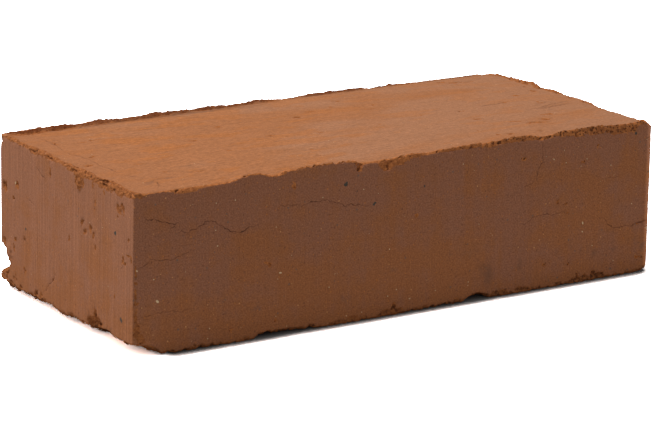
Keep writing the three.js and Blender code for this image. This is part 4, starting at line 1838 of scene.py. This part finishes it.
    def _marked(self, graph: Graph, place: Value, colour: Value) -> Value:
        """Adds the stains and the painted shade of a shallow groove, and the dark and pale grains that have
        their own places.

        Args:
            graph: The material's graph.
            place: The position on the brick.
            colour: The colour so far.

        Returns:
            The new colour.
        """
        # The stain colour marks the stains, and paints shade along a shallow groove on the top bed.
        stain_and_shade = graph.field("stain_and_shade")
        patchy = graph.around(graph.cloud(place, self.coarse), 0.5, 2.0)
        stained = graph.product(graph.total(stain_and_shade, patchy), stain_and_shade)
        colour = graph.blend(graph.math("MULTIPLY", stained, self.stain_and_shade_share, clamp=True), colour,
                             self.stain_and_shade)
        for name, tone in (("dark", self.slate), ("cream", self.cream)):
            colour = graph.blend(graph.step(graph.field(name), *self.grain_edge), colour, tone)
        return colour

    def _cracked(self, graph: Graph, place: Value, colour: Value, on_bed: Value) -> Value:
        """Draws the dark line of each crack, wider on a bed, plainer here and fainter there.

        Args:
            graph: The material's graph.
            place: The position on the brick.
            colour: The colour so far.
            on_bed: 1 on the beds and 0 on the other sides.

        Returns:
            The new colour.
        """
        away = graph.product(graph.math("ABSOLUTE", graph.field("crack")),
                             graph.around(on_bed, 0.0, -0.5, 1.0))
        line = graph.product(graph.step(away, *self.crack_edge), graph.field("crack_share"))
        uneven = graph.around(graph.cloud(place, self.uneven), 0.5, 2.4, 0.8)
        return graph.blend(graph.math("MULTIPLY", line, uneven, clamp=True), colour, self.cleft)


# ---- the studio ----


def looking(place: Vector, back: Vector, roll: float = 0.0) -> Matrix:
    """The matrix of a camera or lamp that looks against back, rolled by degrees."""
    turn = back.to_track_quat("Z", "Y").to_matrix() @ Matrix.Rotation(math.radians(roll), 3, "Z")
    return Matrix.Translation(place) @ turn.to_4x4()


@dataclass
class Studio:
    """A white floor, a soft key lamp above and to the left, and a pale room."""

    camera_place: tuple[float, float, float] = (-0.58501, -0.94663, 0.32267)
    camera_azimuth: float = -31.64
    camera_elevation: float = 14.88
    camera_roll: float = 0.34
    camera_lens: float = 148.78
    sensor: float = 36.0
    key_way: tuple[float, float, float] = (-0.32, 0.12, 0.94)
    key_distance: float = 1.6
    key_size: float = 0.5
    key_power: float = 18.0
    room_light: float = 0.35
    floor_paper: float = 0.55
    floor_seen: float = 0.3
    floor_glow: float = 6.0
    floor_size: float = 6.0
    foot_shade: float = 0.012
    foot_way: tuple[float, float, float] = (-0.35, 0.6, 0.72)
    open_air: Band = (0.42, 0.6)
    past_left: Band = (-0.117, -0.108)

    def build(self) -> None:
        """Sets the whole studio up."""
        self._camera()
        self._room()
        self._key()
        self._floor()
        bpy.context.scene.view_settings.view_transform = "Standard"

    def _camera(self) -> None:
        """Places the camera."""
        azimuth, elevation = math.radians(self.camera_azimuth), math.radians(self.camera_elevation)
        back = Vector((math.sin(azimuth) * math.cos(elevation), -math.cos(azimuth) * math.cos(elevation),
                       math.sin(elevation)))
        data = bpy.data.cameras.new("camera")
        data.lens = self.camera_lens
        data.sensor_width = self.sensor
        camera = placed("camera", data)
        camera.matrix_world = looking(Vector(self.camera_place), back, self.camera_roll)
        bpy.context.scene.camera = camera

    def _room(self) -> None:
        """Lights the room evenly, and shows it white to the camera and to gloss."""
        world = bpy.data.worlds.new("room")
        bpy.context.scene.world = world
        graph = Graph.bare(world)
        rays = graph.node("LightPath").outputs
        seen = graph.math("MAXIMUM", rays["Is Glossy Ray"], rays["Is Transmission Ray"])
        seen = graph.math("MAXIMUM", rays["Is Camera Ray"], seen)
        strength = graph.mixed(seen, self.room_light, 1.0)
        light = graph.node("Background", {"Color": (1, 1, 1, 1), "Strength": strength})
        graph.node("OutputWorld", {"Surface": light.outputs[0]})

    def _key(self) -> None:
        """Hangs a large soft lamp."""
        data = bpy.data.lights.new("key", "AREA")
        data.shape = "DISK"
        data.size = self.key_size
        data.energy = self.key_power
        way = Vector(self.key_way).normalized()
        placed("key", data).matrix_world = looking(way * self.key_distance, way)

    def _floor(self) -> None:
        """Lays a white floor that keeps the brick's shadow."""
        work = bmesh.new()
        bmesh.ops.create_grid(work, x_segments=1, y_segments=1, size=self.floor_size / 2)
        mesh = bpy.data.meshes.new("floor")
        work.to_mesh(mesh)
        work.free()
        floor = placed("floor", mesh)
        floor.data.materials.append(self._floor_material())

    def _floor_material(self) -> bpy.types.Material:
        """White paper, lifted towards white where the camera sees it lit, save close to the foot.

        Returns:
            The material.
        """
        made = bpy.data.materials.new("floor_paper")
        graph = Graph.bare(made)
        paper, dark = (graph.node("BsdfDiffuse", {"Color": (level,) * 3 + (1,)}).outputs[0]
                       for level in (self.floor_paper, self.floor_seen))
        shade = graph.node("AmbientOcclusion", {
            "Distance": self.foot_shade, "Normal": graph.vector(self.foot_way)}).outputs["AO"]
        across = graph.parts(graph.node("TexCoord").outputs["Object"])[0]
        # Painted shadow and light: ambient occlusion about a slanted normal holds the lift back along the
        # front foot, which paints a contact shadow there, and left of the brick the lift is doubled, which
        # paints light over the shadow by the header.
        lift = graph.mixed(graph.step(across, *self.past_left), 2.0, graph.step(shade, *self.open_air))
        glow = graph.shaded((1.0, 1.0, 1.0), graph.product(lift, self.floor_glow))
        glow = graph.node("BsdfDiffuse", {"Color": glow}).outputs[0]
        lifted = graph.node("AddShader", {0: dark, 1: glow}).outputs[0]
        to_camera = graph.node("LightPath").outputs["Is Camera Ray"]
        seen = graph.node("MixShader", {0: to_camera, 1: paper, 2: lifted}).outputs[0]
        graph.node("OutputMaterial", {"Surface": seen})
        return made


# ---- the scene ----


def bed_level(record: dict) -> float:
    """Height of the top bed in mm, from the record's face on it."""
    return next(face["pos_m"][2] for face in record["mounts"] if face["name"] == "top_bed") * PER_METRE


def main() -> None:
    """Builds the studio and the brick."""
    logging.basicConfig(level=logging.INFO, format="%(name)s %(message)s")
    Studio().build()
    piece = BrickBody(frame["nodes"]["brick"], bed_level(frame["record"])).build()
    piece.data.materials.append(FiredClay().material())
    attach(piece, "root")
    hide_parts("brick")


if __name__ == "__main__":
    main()
